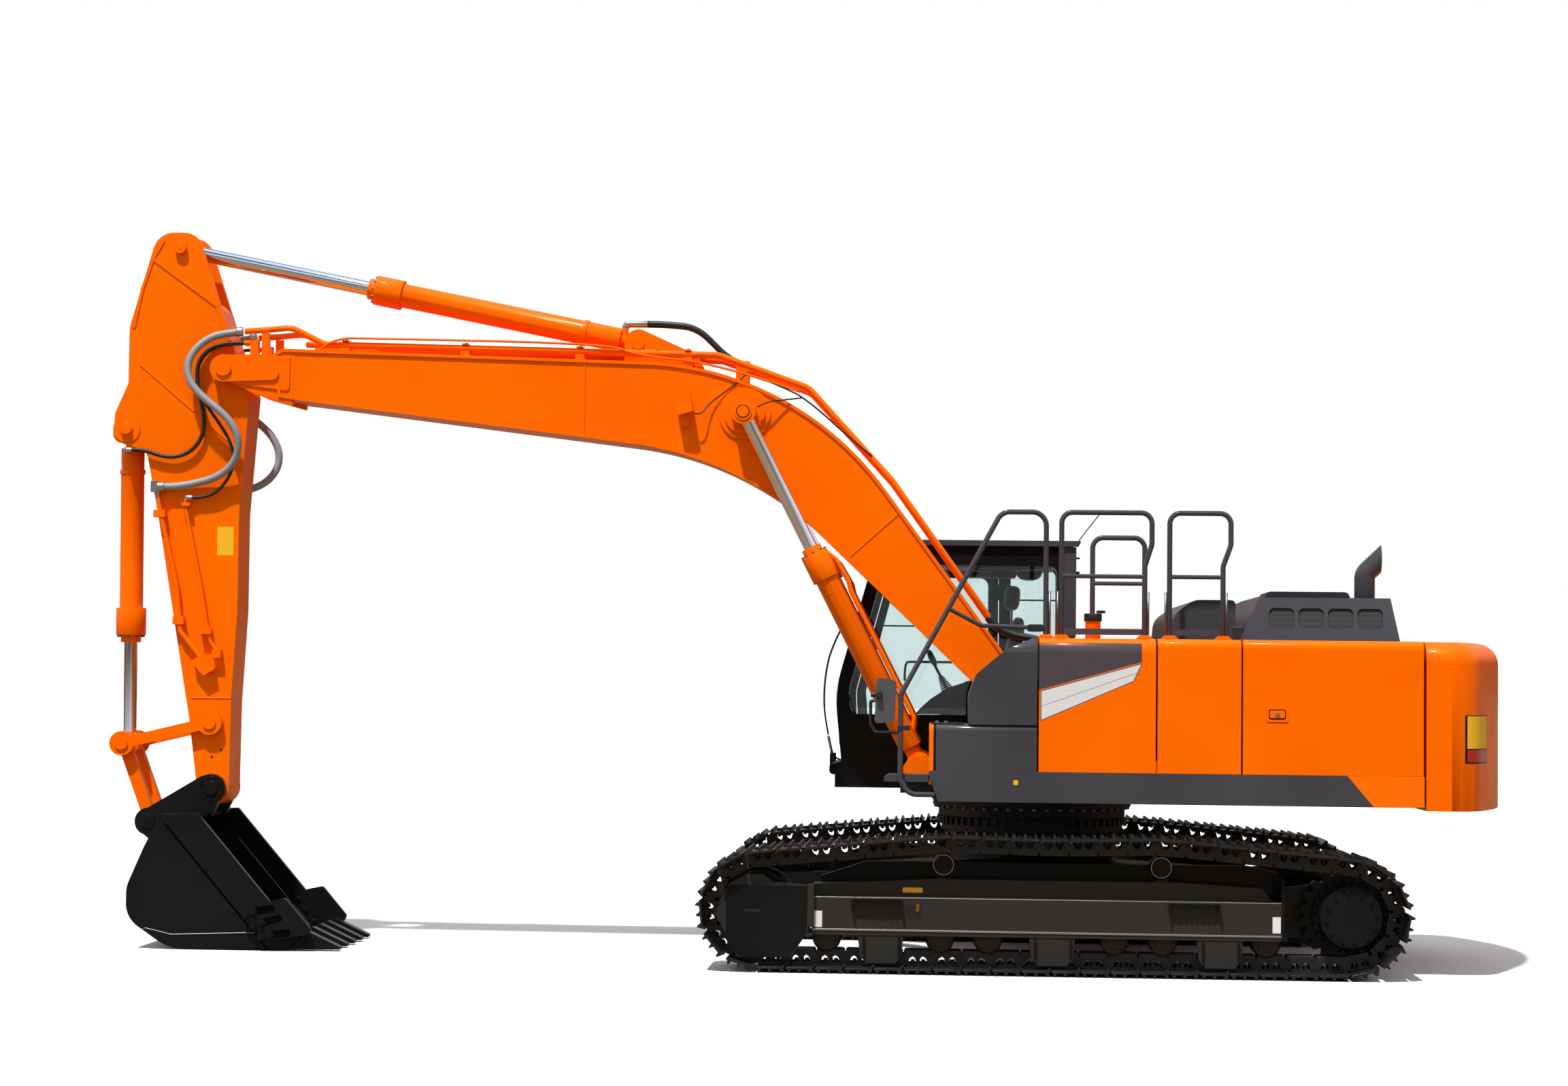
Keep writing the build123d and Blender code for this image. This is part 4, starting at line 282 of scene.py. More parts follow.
GREY, SILVER, BLACK = "#47464B", "#DADADC", "#1B1B1D"
OUTLINE, FOLD_SHADE = "#5A5A5E", "#A4A4A8"
tank_paint = banded(orange_paint, "tank_enamel", [
    (GREY, [above(0.04, 1.838, 0.66, 2.013), beyond(0.665, -1), (0, -1, 2.135)]),
    (OUTLINE, [above(0.04, 1.832, 0.66, 2.007, -1), above(0.0, 1.620, 0.61, 1.886), (-1, 0.467, -0.267),
               beyond(0.016)]),
    (SILVER, [above(0.04, 1.825, 0.66, 2.0, -1), above(0.0, 1.627, 0.61, 1.893), (-1, 0.467, -0.274),
              beyond(0.022)]),
    # a grey line along a fold of the tank's panel: painted shade of the fold
    (FOLD_SHADE, [above(0.0, 1.713, 0.62, 1.936), above(0.0, 1.719, 0.62, 1.942, -1), beyond(0.022),
            (-1, 0.467, -0.274)]),
])
skirt_paint = banded(grey_paint, "skirt_enamel", [
    (ORANGE, [(1, 0.85, -3.085), beyond(2.47, -1)]),
])
storage_paint = banded(grey_paint, "storage_enamel", [
    (ORANGE, [beyond(-0.672, -1)]),
    (BLACK, [beyond(-0.672), beyond(-0.655, -1)]),
])

# %% [markdown]
# ## Dressing the ready-made pieces
#
# A short table names the finish of each piece. The meshes come as loose triangles, so a
# Weld modifier joins them, and a narrow Bevel rounds every edge sharper than a crease angle
# so that it catches the light as a real plate edge does.

# %% Finish of each piece
FINISH = {
    orange_paint: ("revolving_frame", "side_panels", "counterweight", "oil_filler", "pump_door",
                   "radiator_door", "boom", "boom_pipes", "boom_cylinder_barrels", "arm_cylinder_barrel",
                   "arm", "bucket_cylinder_barrel", "guide_links", "bucket_link", "work_lamp",
                   "arm_pipes", "arm_pivot_pin"),
    tank_paint: ("tank",),
    skirt_paint: ("side_skirts",),
    storage_paint: ("storage_box",),
    grey_paint: ("tank_cover", "deck_plate", "cooler_hood", "engine_hood", "handrails", "front_step"),
    painted_bounce_frame_paint: ("track_frame_left", "track_frame_right"),
    black_paint: ("centre_frame", "idlers", "sprockets", "travel_motors", "lower_rollers",
                  "carrier_rollers", "cab_shell", "cab_door", "bucket", "bucket_teeth", "bucket_pin"),
    chrome: ("boom_cylinder_rods", "arm_cylinder_rod", "bucket_cylinder_rod"),
    forged: ("track_left", "track_right"),
    cast: ("swing_gear", "swing_ring", "engine_block", "exhaust"),
    bare_steel: ("boom_foot_pin",),
    plastic: ("radiator", "controls"),
    mirror_back: ("mirror",),
    cloth: ("operator_chair",),
    glass: ("cab_glass", "cab_door_glass"),
}
EDGE = 0.004                # plate edges are broken to a few millimetres
CREASE = math.radians(32)   # edges sharper than this are rounded


def round_edges(made, width):
    """Adds a narrow bevel on sharp edges; returns the modifier."""
    bevel = made.modifiers.new("edge", "BEVEL")
    bevel.width, bevel.segments, bevel.limit_method = width, 2, "ANGLE"
    bevel.harden_normals = True
    return bevel


def dress(node, material):
    """Gives a ready-made piece its finish, welded corners and broken edges."""
    node.data.materials.clear()
    node.data.materials.append(material)
    weld = node.modifiers.new("weld", "WELD")
    weld.merge_threshold = 0.0001
    round_edges(node, EDGE).angle_limit = CREASE


for material, names in FINISH.items():
    for name in names:
        dress(nodes[name], material)
undressed = set(nodes).difference(*FINISH.values())
print("dressed", len(nodes) - len(undressed), "pieces, left:", sorted(undressed))

# %% Repainted areas
def repaint(name, material, chosen):
    """Gives another finish to the faces whose centre and normal pass a test."""
    mesh = nodes[name].data
    mesh.materials.append(material)
    number = len(mesh.materials) - 1
    count = 0
    for face in mesh.polygons:
        x, y, z = face.center
        if chosen(x - SWING_X, y, z, face.normal):
            face.material_index = number
            count += 1
    print("repainted", name, count)


def in_window(x, y, z, normal):
    """The sunk faces of the hood's mesh windows, inside its leaning side walls."""
    wall = 1.15 - 0.06 * (z - 2.165) / 0.285
    return 1.5 < x < 2.26 and 2.235 < z < 2.385 and abs(normal.y) > 0.9 and abs(y) < wall - 0.01


def about_pin(x_pin, z_pin, reach):
    """A test for faces within reach of a pin, in side view."""
    return lambda x, y, z, n: math.hypot(x - x_pin, z - z_pin) < reach


REPAINTS = [
    # node, finish, test of a face's centre, from the swing axis, and normal
    ("revolving_frame", black_paint, lambda x, y, z, n: z < 1.215),
    ("oil_filler", plastic, lambda x, y, z, n: z > 2.275),
    ("engine_hood", mesh_screen, in_window),
    ("boom_pipes", zinc, lambda x, y, z, n: x < -5.502),
    ("arm_pipes", zinc, lambda x, y, z, n: x > -6.10 and z > 3.075 or x < -6.06 and z > 3.13),
    ("arm_cylinder_barrel", zinc, lambda x, y, z, n: x > -2.885 and z > 4.31),
    ("bucket_cylinder_barrel", zinc, lambda x, y, z, n: y < -0.085 and 3.40 < z < 3.46),
    ("boom_cylinder_rods", orange_paint, about_pin(-1.998, 3.706, 0.13)),
    ("arm_cylinder_rod", orange_paint, about_pin(-5.976, 4.852, 0.12)),
    ("bucket_cylinder_rod", orange_paint, about_pin(-6.315, 1.385, 0.105)),
    ("exhaust", grey_paint, lambda x, y, z, n: True),
    ("mirror", plastic, lambda x, y, z, n: z < 1.595 or x < -1.06),
]
for name, finish, chosen in REPAINTS:
    repaint(name, finish, chosen)

# %% [markdown]
# ## Building small shapes
#
# Everything below is made from a few shapes: a prism with a side-view outline, a box, a
# disc, a bolt head, and a tube along a line of points. Many small shapes go into one mesh,
# so that a row of bolts is one piece. Each piece then rides on the body that carries it.

# %% Shape helpers
def prism(shape, outline, y_low, y_high):
    """Adds a flat plate with an outline of (x, z) points between two y values."""
    low = [shape.verts.new(at(x, y_low, z)) for x, z in outline]
    high = [shape.verts.new(at(x, y_high, z)) for x, z in outline]
    shape.faces.new(low)
    shape.faces.new(high[::-1])
    for number in range(len(low)):
        after = (number + 1) % len(low)
        shape.faces.new((low[number], high[number], high[after], low[after]))


def rectangle(x_low, x_high, z_low, z_high):
    return [(x_low, z_low), (x_high, z_low), (x_high, z_high), (x_low, z_high)]


def cuboid(shape, x_low, x_high, y_low, y_high, z_low, z_high):
    prism(shape, rectangle(x_low, x_high, z_low, z_high), y_low, y_high)


def on_side(shape, side, outline, y_near, y_far):
    """A plate with a side-view outline between two distances from the machine's middle."""
    prism(shape, outline, *sorted((side * y_near, side * y_far)))


def rounded(x_low, x_high, z_low, z_high, radius, steps=5):
    """A rectangle's outline with round corners."""
    left, right, low, high = x_low + radius, x_high - radius, z_low + radius, z_high - radius
    outline = []
    for number, (x, z) in enumerate(((right, high), (left, high), (left, low), (right, low))):
        for step in range(steps + 1):
            turn = math.pi / 2 * (number + step / steps)
            outline.append((x + radius * math.cos(turn), z + radius * math.sin(turn)))
    return outline


def disc(shape, centre, axis, radius, height, sides=20, top=None):
    """Adds a short round or many-sided plug that stands up from its centre along an axis."""
    axis = Vector(axis).normalized()
    turn = axis.to_track_quat("Z", "Y").to_matrix().to_4x4()
    place = Matrix.Translation(at(*centre) + axis * height / 2) @ turn
    bmesh.ops.create_cone(shape, cap_ends=True, segments=sides, radius1=radius,
                          radius2=radius if top is None else top, depth=height, matrix=place)


def bolt(shape, centre, axis, size):
    """Adds a washer and a hexagon head; size is the head's width over its corners."""
    disc(shape, centre, axis, size * 0.72, size * 0.12, 20)
    lifted = Vector(centre) + Vector(axis).normalized() * size * 0.12
    disc(shape, lifted, axis, size * 0.5, size * 0.45, 6, size * 0.47)


def piece(name, shape, material, body, edge=0.0):
    """Makes an object of a shape, and lets it ride on a body."""
    bmesh.ops.recalc_face_normals(shape, faces=shape.faces)
    mesh = bpy.data.meshes.new(name)
    shape.to_mesh(mesh)
    shape.free()
    made = bpy.data.objects.new(name, mesh)
    bpy.context.collection.objects.link(made)
    mesh.materials.append(material)
    if edge:
        round_edges(made, edge)
    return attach(made, body)


def spline(name, route):
    """A smooth line with the route as its control points."""
    curve = bpy.data.curves.new(name, "CURVE")
    curve.dimensions = "3D"
    line = curve.splines.new("NURBS")
    line.points.add(len(route) - 1)
    for point, place in zip(line.points, route):
        point.co = (*at(*place), 1)
    line.order_u = 3
    line.use_endpoint_u = True
    line.resolution_u = 24
    made = bpy.data.objects.new(name, curve)
    bpy.context.collection.objects.link(made)
    return made


def follow(name, route):
    """Points read from the smooth line along a route."""
    line = spline(name + "_line", route)
    mesh = bpy.data.meshes.new_from_object(line)
    points = [vertex.co.copy() for vertex in mesh.vertices]
    bpy.data.objects.remove(line)
    bpy.data.meshes.remove(mesh)
    return points


def evenly(points, step):
    """Points at even steps along a line of points."""
    lengths = [0.0]
    for before, after in zip(points, points[1:]):
        lengths.append(lengths[-1] + (after - before).length)
    count = max(2, round(lengths[-1] / step))
    found, index = [], 0
    for number in range(count + 1):
        reach = lengths[-1] * number / count
        while index < len(points) - 2 and lengths[index + 1] < reach:
            index += 1
        share = (reach - lengths[index]) / max(lengths[index + 1] - lengths[index], 1e-9)
        found.append(points[index].lerp(points[index + 1], share))
    return found


def skin(shape, points, radius_at, sides=14):
    """Adds a tube round a line of points; radius_at gives its radius at each one's number."""
    rings = []
    heading = (points[1] - points[0]).normalized()
    side = heading.orthogonal().normalized()
    for number, point in enumerate(points):
        before, after = points[max(number - 1, 0)], points[min(number + 1, len(points) - 1)]
        ahead = (after - before).normalized()
        side = (side - ahead * side.dot(ahead)).normalized()
        other = ahead.cross(side)
        radius = radius_at(number)
        out, over = side * radius, other * radius
        turns = (2 * math.pi * k / sides for k in range(sides))
        rings.append([shape.verts.new(point + out * math.cos(turn) + over * math.sin(turn))
                      for turn in turns])
    for before, after in zip(rings, rings[1:]):
        for k in range(sides):
            shape.faces.new((before[k], before[(k + 1) % sides], after[(k + 1) % sides], after[k]))
    shape.faces.new(rings[0][::-1])
    shape.faces.new(rings[-1])


def smooth(made):
    """Shades every face of an object smooth, and returns it."""
    for face in made.data.polygons:
        face.use_smooth = True
    return made


# %% [markdown]
# ## Tracks
#
# A track is a chain of forged links with a pressed steel shoe bolted across each pair. Two
# windows in every link leave room for the nuts of the shoe bolts, and daylight shows
# through them. A shoe has three low ribs, and its rear edge curls up under the next shoe.
# One link with its shoe is drawn as it lies on the ground, with the middle between its pins
# at the origin, and then set down 51 times round the loop of the link pins.

# %% Loop of the link pins
SHOES = 51
TRACK_Y = 1.295             # middle of a track
SHOE_HALF = 0.300
PIN_RADIUS = 0.322          # of the link pins round the idler and the sprocket
WHEEL_Z = 0.400
IDLER_X, SPROCKET_X = -1.800, 2.000
CARRIER_X = (-0.600, 0.800)
CARRIED_Z = 0.833           # link pins over the carrier rollers
SAG = 0.016


def wheel_arc(x, start, end, steps=48):
    """Points of the pin circle round a wheel, between two angles."""
    turns = (start + (end - start) * step / steps for step in range(steps + 1))
    return [at(x + PIN_RADIUS * math.cos(turn), 0, WHEEL_Z + PIN_RADIUS * math.sin(turn)) for turn in turns]


front, rear = CARRIER_X
lean = math.atan2(CARRIED_Z - WHEEL_Z - PIN_RADIUS, front - IDLER_X)
loop = (wheel_arc(SPROCKET_X, -math.pi / 2, math.pi / 2 - lean)
        + [at(rear, 0, CARRIED_Z), at((front + rear) / 2, 0, CARRIED_Z - SAG), at(front, 0, CARRIED_Z)]
        + wheel_arc(IDLER_X, math.pi / 2 + lean, math.pi * 1.5))
loop = [loop[-1]] + loop
around = sum((after - before).length for before, after in zip(loop, loop[1:]))
PITCH = around / SHOES
pins = evenly(loop, PITCH)[:SHOES]

# %% One link with its shoe
# outlines in side view: along the track, and up from the pins
SHOE_TOP, SHOE_UNDER, RIB_TIP = -0.041, -0.052, -0.078
SHOE = [(-0.092, -0.047), (-0.086, SHOE_TOP), (0.074, SHOE_TOP), (0.089, -0.025), (0.096, -0.028),
        (0.087, SHOE_UNDER), (0.078, RIB_TIP), (0.067, RIB_TIP), (0.060, SHOE_UNDER),
        (0.011, SHOE_UNDER), (0.006, RIB_TIP), (-0.006, RIB_TIP), (-0.011, SHOE_UNDER),
        (-0.056, SHOE_UNDER), (-0.061, RIB_TIP), (-0.072, RIB_TIP), (-0.078, SHOE_UNDER),
        (-0.092, SHOE_UNDER)]
HALF_RAIL = [(0.084, 0.063), (0.093, 0.048), (0.086, 0.026), (0.060, -0.010), (0.052, 0.012),
             (0.034, 0.024), (0.018, 0.014), (0.012, -0.006)]
HALF_FOOT = [(0.078, -0.042), (0.070, -0.024), (0.012, -0.024), (0.012, 0.0)]


def both_halves(half):
    """A closed outline from its front half, mirrored about the middle."""
    return half + [(-x, z) for x, z in half[::-1]]


RAIL_SIDES = (0.045, 0.085)  # a link's two faces, from the track's middle
CHAMFER = 0.0018

shape = bmesh.new()
prism(shape, SHOE, -SHOE_HALF, SHOE_HALF)
for side in (-1, 1):
    inner, outer = sorted(side * y for y in RAIL_SIDES)
    prism(shape, both_halves(HALF_RAIL), inner, outer)
    prism(shape, both_halves(HALF_FOOT), inner, outer)
bmesh.ops.bevel(shape, geom=list(shape.edges), offset=CHAMFER, segments=1, affect="EDGES")
PIN_X = -PITCH / 2
RAIL_MIDDLE = sum(RAIL_SIDES) / 2
disc(shape, (PIN_X, -RAIL_SIDES[0], 0), (0, 1, 0), 0.012, 2 * RAIL_SIDES[0], 12)
for side in (-1, 1):
    # the link's boss and the pin's end, then a nut and a bolt head for each shoe bolt
    disc(shape, (PIN_X, side * 0.043, 0), (0, side, 0), 0.037, 0.046, 24)
    disc(shape, (PIN_X, side * 0.089, 0), (0, side, 0), 0.022, 0.004, 20)
    for x in (-0.034, 0.034):
        disc(shape, (x, side * RAIL_MIDDLE, -0.026), (0, 0, 1), 0.015, 0.017, 6)
        disc(shape, (x, side * RAIL_MIDDLE, -0.052), (0, 0, -1), 0.016, 0.013, 6)
bmesh.ops.recalc_face_normals(shape, faces=shape.faces)
link_mesh = bpy.data.meshes.new("link_and_shoe")
shape.to_mesh(link_mesh)
shape.free()

# %% Set down round the loop
for side, name in ((-1, "left"), (1, "right")):
    shape = bmesh.new()
    for pin, after in zip(pins, pins[1:] + pins[:1]):
        ahead = (after - pin).normalized()
        turn = Matrix((ahead, (0, 1, 0), (-ahead.z, 0, ahead.x))).transposed().to_4x4()
        middle = (pin + after) / 2 + Vector((0, side * TRACK_Y, 0))
        known = len(shape.verts)
        shape.from_mesh(link_mesh)
        shape.verts.ensure_lookup_table()
        place = Matrix.Translation(middle) @ turn @ Matrix.Translation((-SWING_X, 0, 0))
        bmesh.ops.transform(shape, matrix=place, verts=shape.verts[known:])
    chain = piece(f"track_chain_{name}", shape, forged, "undercarriage")
    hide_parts(f"track_{name}")
print("tracks laid, pitch", round(PITCH, 4))

# %% [markdown]
# ## Hoses
#
# Every hose follows the route of its solid twin, whose points are repeated here. The two
# large ones wear a ribbed guard; the small ones are wound with a plastic spiral. So the
# radius rises and falls along the hose.

# %% Routes
LARGE = [(-5.562, -0.215, 4.256), (-5.673, -0.222, 4.243), (-5.761, -0.235, 4.206),
         (-5.838, -0.252, 4.138),
         (-5.886, -0.270, 4.050), (-5.885, -0.285, 3.956), (-5.844, -0.297, 3.868), (-5.753, -0.305, 3.780),
         (-5.651, -0.308, 3.703), (-5.572, -0.306, 3.626), (-5.525, -0.300, 3.538), (-5.515, -0.288, 3.450),
         (-5.540, -0.268, 3.360), (-5.610, -0.244, 3.282), (-5.709, -0.224, 3.230), (-5.831, -0.212, 3.199),
         (-5.964, -0.210, 3.174), (-6.050, -0.210, 3.174)]
SMALL = [(-5.500, -0.236, 4.180), (-5.600, -0.236, 4.180), (-5.710, -0.240, 4.158), (-5.785, -0.245, 4.105),
         (-5.828, -0.250, 4.020), (-5.826, -0.254, 3.910), (-5.790, -0.257, 3.800), (-5.725, -0.259, 3.700),
         (-5.650, -0.259, 3.600), (-5.585, -0.257, 3.497), (-5.554, -0.252, 3.390), (-5.568, -0.242, 3.288),
         (-5.618, -0.230, 3.200), (-5.690, -0.217, 3.132), (-5.775, -0.210, 3.100), (-5.850, -0.210, 3.100)]
BULGED = [(-5.562, 0.215, 4.256), (-5.673, 0.222, 4.243), (-5.761, 0.235, 4.206), (-5.838, 0.252, 4.138),
          (-5.880, 0.270, 4.050), (-5.872, 0.285, 3.956), (-5.815, 0.297, 3.868), (-5.717, 0.305, 3.795),
          (-5.610, 0.310, 3.730), (-5.505, 0.312, 3.660), (-5.415, 0.310, 3.575), (-5.360, 0.304, 3.470),
          (-5.357, 0.292, 3.365), (-5.405, 0.270, 3.270), (-5.490, 0.246, 3.205), (-5.605, 0.226, 3.172),
          (-5.735, 0.214, 3.163), (-5.862, 0.211, 3.166), (-5.965, 0.210, 3.174), (-6.050, 0.210, 3.174)]
BUCKET_HOSE = [(-5.500, -0.203, 4.180), (-5.600, -0.203, 4.180), (-5.705, -0.204, 4.160),
               (-5.785, -0.205, 4.108), (-5.836, -0.206, 4.020), (-5.836, -0.206, 3.915),
               (-5.812, -0.206, 3.800), (-5.782, -0.206, 3.690), (-5.778, -0.206, 3.580),
               (-5.812, -0.206, 3.485), (-5.884, -0.206, 3.412), (-5.985, -0.206, 3.378),
               (-6.095, -0.206, 3.390), (-6.195, -0.207, 3.430), (-6.285, -0.207, 3.430)]
CYLINDER = [(-2.700, 4.350), (-2.620, 4.350), (-2.515, 4.343), (-2.410, 4.334), (-2.316, 4.289),
            (-2.235, 4.210), (-2.165, 4.140), (-2.100, 4.098)]
FOOT = [(-0.310, 2.325), (-0.257386, 2.251969), (-0.150, 2.200), (-0.035, 2.185), (0.080, 2.160),
        (0.180, 2.095), (0.250, 2.000), (0.285, 1.890), (0.290, 1.760), (0.290, 1.685)]


def lane(profile, y):
    """A side-view route set at a distance from the machine's middle."""
    return [(x, y, z) for x, z in profile]


NOSE, LOW, BUCKET_LOW = (-5.64, 0, 4.15), (-5.64, 0, 3.25), (-5.64, 0, 3.42)
BOOM_TO_ARM = ("boom", "arm")
SMALL_RIGHT = [(x, -y, z) for x, y, z in SMALL]
HOSES = [
    # name, route, diameter, finish, guard, the node it stands for, the two bodies of the joint
    # it crosses, and two points near that joint
    ("large_hose_left", LARGE, 0.055, sleeve_grey, "ribbed", "arm_hoses_left", BOOM_TO_ARM, (NOSE, LOW)),
    ("small_hose_left", SMALL, 0.024, rubber, "wound", "arm_hoses_left", BOOM_TO_ARM, (NOSE, LOW)),
    ("large_hose_right", BULGED, 0.055, sleeve_grey, "ribbed", "arm_hoses_right", BOOM_TO_ARM, (NOSE, LOW)),
    ("small_hose_right", SMALL_RIGHT, 0.024, rubber, "wound", "arm_hoses_right", BOOM_TO_ARM, (NOSE, LOW)),
    ("bucket_hose", BUCKET_HOSE, 0.030, rubber, "wound", "bucket_cylinder_hose", BOOM_TO_ARM,
     (NOSE, BUCKET_LOW)),
]
for side, y in (("left", -0.032), ("right", 0.032)):
    HOSES.append((f"arm_cylinder_hose_{side}", lane(CYLINDER, y), 0.042, rubber, "plain",
                  "arm_cylinder_hoses", ("arm_barrel", "boom"), ((-2.70, 0, 4.30), (-2.12, 0, 4.10))))
for number, y in enumerate((-0.215, -0.150, 0.150, 0.215)):
    HOSES.append((f"boom_foot_hose_{number + 1}", lane(FOOT, y), 0.048, rubber, "plain",
                  "boom_foot_hoses", ("boom", "house"), ((-0.25, 0, 2.25), (0.29, 0, 1.70))))


def wave(kind, radius):
    """How a hose's radius changes from one ring of its skin to the next."""
    if kind == "ribbed":
        return 0.004, lambda number: radius * (1.0 if number % 3 == 1 else 0.93)
    if kind == "wound":
        return 0.005, lambda number: radius * (1.0 if number % 4 < 2 else 0.88)
    return 0.02, lambda number: radius


for name, route, diameter, finish, kind, node, bodies, (bend_start, bend_end) in HOSES:
    line = follow(name, route)
    step, radius_at = wave(kind, diameter / 2)
    shape = bmesh.new()
    skin(shape, evenly(line, step), radius_at, 16 if diameter > 0.04 else 12)
    mesh = bpy.data.meshes.new(name)
    shape.to_mesh(mesh)
    shape.free()
    mesh.materials.append(finish)
    made = bpy.data.objects.new(name, mesh)
    bpy.context.collection.objects.link(made)
    smooth(made)
    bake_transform(made)
    length = sum((after - before).length for before, after in zip(line, line[1:]))
    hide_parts(node)
    print(name, "length", round(length, 3))

# %% [markdown]
# ## Thin lines, cables and bars
#
# Grease lines, lamp cables, window bars and the grab bar are thin steel or rubber tubes. A
# table gives each one's route, thickness, finish and the body that carries it.

# %% Lines
WINDOW_Y, PANEL_Y, GRAB_Y = 1.380, 0.490, 1.40     # the cab's window bars, its inner wall, its grab bar
LINES = [
    # name, body, finish, diameter, route
    ("boom_grease_line", "boom", orange_paint, 0.016,
     [(-4.98, -0.245, 4.125), (-4.88, -0.245, 4.215), (-4.60, -0.245, 4.215), (-2.945, -0.245, 4.185),
      (-2.755, -0.245, 4.105), (-2.17, -0.245, 4.05), (-1.62, -0.245, 3.86)]),
    ("grab_bar", "house", black_paint, 0.014,
     lane([(-1.345, 1.29), (-1.430, 1.29), (-1.462, 1.46), (-1.502, 1.68), (-1.492, 1.92),
           (-1.445, 2.13), (-1.340, 2.33)], GRAB_Y)),
    ("grab_bar_grip", "house", zinc, 0.022,
     lane([(-1.437, 1.345), (-1.453, 1.41), (-1.466, 1.475)], GRAB_Y)),
    ("door_window_bar", "cab_door", lining, 0.012,
     lane([(-1.090, 2.283), (-0.700, 2.283), (-0.310, 2.283)], WINDOW_Y)),
    ("rear_window_bar", "house", lining, 0.012,
     lane([(-0.150, 2.481), (0.030, 2.481), (0.220, 2.481)], WINDOW_Y)),
    ("door_handle_bar", "cab_door", plastic, 0.018,
     [(-0.905, 1.375, 1.880), (-0.905, 1.360, 2.017), (-0.860, 1.355, 2.019), (-0.600, 1.355, 2.019),
      (-0.560, 1.375, 2.019)]),
    ("cab_press_line_front", "house", black_paint, 0.010,
     lane([(-1.290, 1.788), (-1.262, 1.690), (-1.215, 1.600), (-1.150, 1.572), (-1.060, 1.568)], PANEL_Y)),
    ("cab_press_line_low", "house", black_paint, 0.010,
     lane([(-1.262, 1.365), (-1.230, 1.368), (-1.050, 1.405), (-0.900, 1.446)], PANEL_Y)),
    ("antenna", "house", plastic, 0.008, [(0.33, 1.20, 2.87), (0.40, 1.20, 2.97), (0.52, 1.20, 3.12)]),
    ("lamp_cable", "boom", rubber, 0.010,
     [(-2.340, -0.340, 3.702), (-2.300, -0.335, 3.680), (-2.241, -0.280, 3.775), (-2.113, -0.262, 3.872),
      (-2.037, -0.260, 3.932), (-1.979, -0.235, 3.995)]),
    ("boss_grease_hose", "boom", rubber, 0.011,
     [(-1.905, -0.330, 3.745), (-1.850, -0.330, 3.785), (-1.700, -0.275, 3.802), (-1.597, -0.262, 3.818)]),
    ("boom_edge_hose", "boom", rubber, 0.012,
     [(-1.880, -0.240, 3.950), (-1.675, -0.262, 3.862), (-1.597, -0.264, 3.818), (-1.455, -0.264, 3.707),
      (-1.273, -0.264, 3.541), (-1.120, -0.235, 3.420)]),
]
for name, body, finish, diameter, route in LINES:
    shape = bmesh.new()
    skin(shape, evenly(follow(name, route), 0.02), lambda number: diameter / 2, 10)
    smooth(piece(name, shape, finish, body))

# %% [markdown]
# ## Bolts, weld beads, labels and small fittings
#
# Bolts sit in rows, circles or pairs. Each table below has named columns, and one loop
# places what it lists.

# %% Bolts
BOLT_CIRCLES = [
    # name, body, finish, centre on the left side, circle radius, count, head size
    ("sprocket_rim", "undercarriage", black_paint, (2.0, -1.404, 0.400), 0.219, 24, 0.026),
    ("sprocket_cover", "undercarriage", black_paint, (2.0, -1.500, 0.400), 0.160, 12, 0.026),
    ("boom_foot_cap", "house", orange_paint, (-0.033, -0.345, 1.709), 0.055, 4, 0.028),
    ("bucket_pin_cap", "bucket", black_paint, (-5.680, -0.228, 1.080), 0.075, 3, 0.022),
]
for name, body, finish, (x, y, z), radius, count, size in BOLT_CIRCLES:
    for side, label in ((1, "left"), (-1, "right")):
        shape = bmesh.new()
        for number in range(count):
            turn = 2 * math.pi * (number + 0.25) / count
            spot = (x + radius * math.cos(turn), side * y, z + radius * math.sin(turn))
            bolt(shape, spot, (0, -side, 0), size)
        piece(f"{name}_{label}", shape, finish, body)

# %% Pin ends: a stack of discs at both ends of each pin
CAPS = [
    # body, finish, pin in side view, outer face, (radius, height) of each disc
    ("arm", orange_paint, (-5.976, 4.852), 0.1805, ((0.043, 0.030), (0.016, 0.032))),
    ("arm", orange_paint, (-6.335, 3.578), 0.1805, ((0.050, 0.004), (0.040, 0.028), (0.006, 0.030))),
    ("boom_rods", orange_paint, (-1.998, 3.706), 0.431, ((0.060, 0.012), (0.040, 0.016))),
    ("boom_rods", black_paint, (-1.998, 3.706), 0.431, ((0.047, 0.0135),)),
    ("bucket", black_paint, (-5.680, 1.080), 0.2275, ((0.088, 0.004), (0.052, 0.010), (0.046, 0.012))),
    ("bucket", black_paint, (-6.115, 0.847), 0.2275, ((0.048, 0.008), (0.012, 0.012))),
]
for number, (body, finish, (x, z), face, discs) in enumerate(CAPS):
    shape = bmesh.new()
    for side in (-1, 1):
        for radius, height in discs:
            disc(shape, (x, side * face, z), (0, side, 0), radius, height, 36)
    piece(f"pin_caps_{number + 1}", shape, finish, body, 0.002)

# %% Bucket: painted shade in the cutter pockets and along the blade's edge, bolts, weld lines
EDGE_TOP = Vector((-5.668, 0, 0.915))       # upper end of the mouth's front edge
EDGE_RUN = Vector((0.6512, 0, -0.7589))     # down that edge, and ahead of it
EDGE_AHEAD = Vector((0.7589, 0, 0.6512))
CUTTER_FACE, WALL_FACE, WALL_INSIDE = 0.6425, 0.6005, 0.5695      # from the bucket's middle
BLADE_SHADOW_AT, BLADE_WELD_AT = -0.210, -0.135   # ahead of the mouth's edge
POCKETS = [
    # two bolts of a finger in side view, then the end of its pocket
    ((-5.323, 0.236), (-5.273, 0.268), (-5.150, 0.290)),
    ((-5.271, 0.168), (-5.213, 0.192), (-5.096, 0.226)),
    ((-5.217, 0.095), (-5.156, 0.110), (-5.040, 0.128)),
]
POCKET_HALF = 0.025
HEADS_INSIDE = ((-5.221, 0.273), (-5.273, 0.230), (-5.164, 0.192), (-5.228, 0.167), (-5.102, 0.112),
                (-5.173, 0.099))
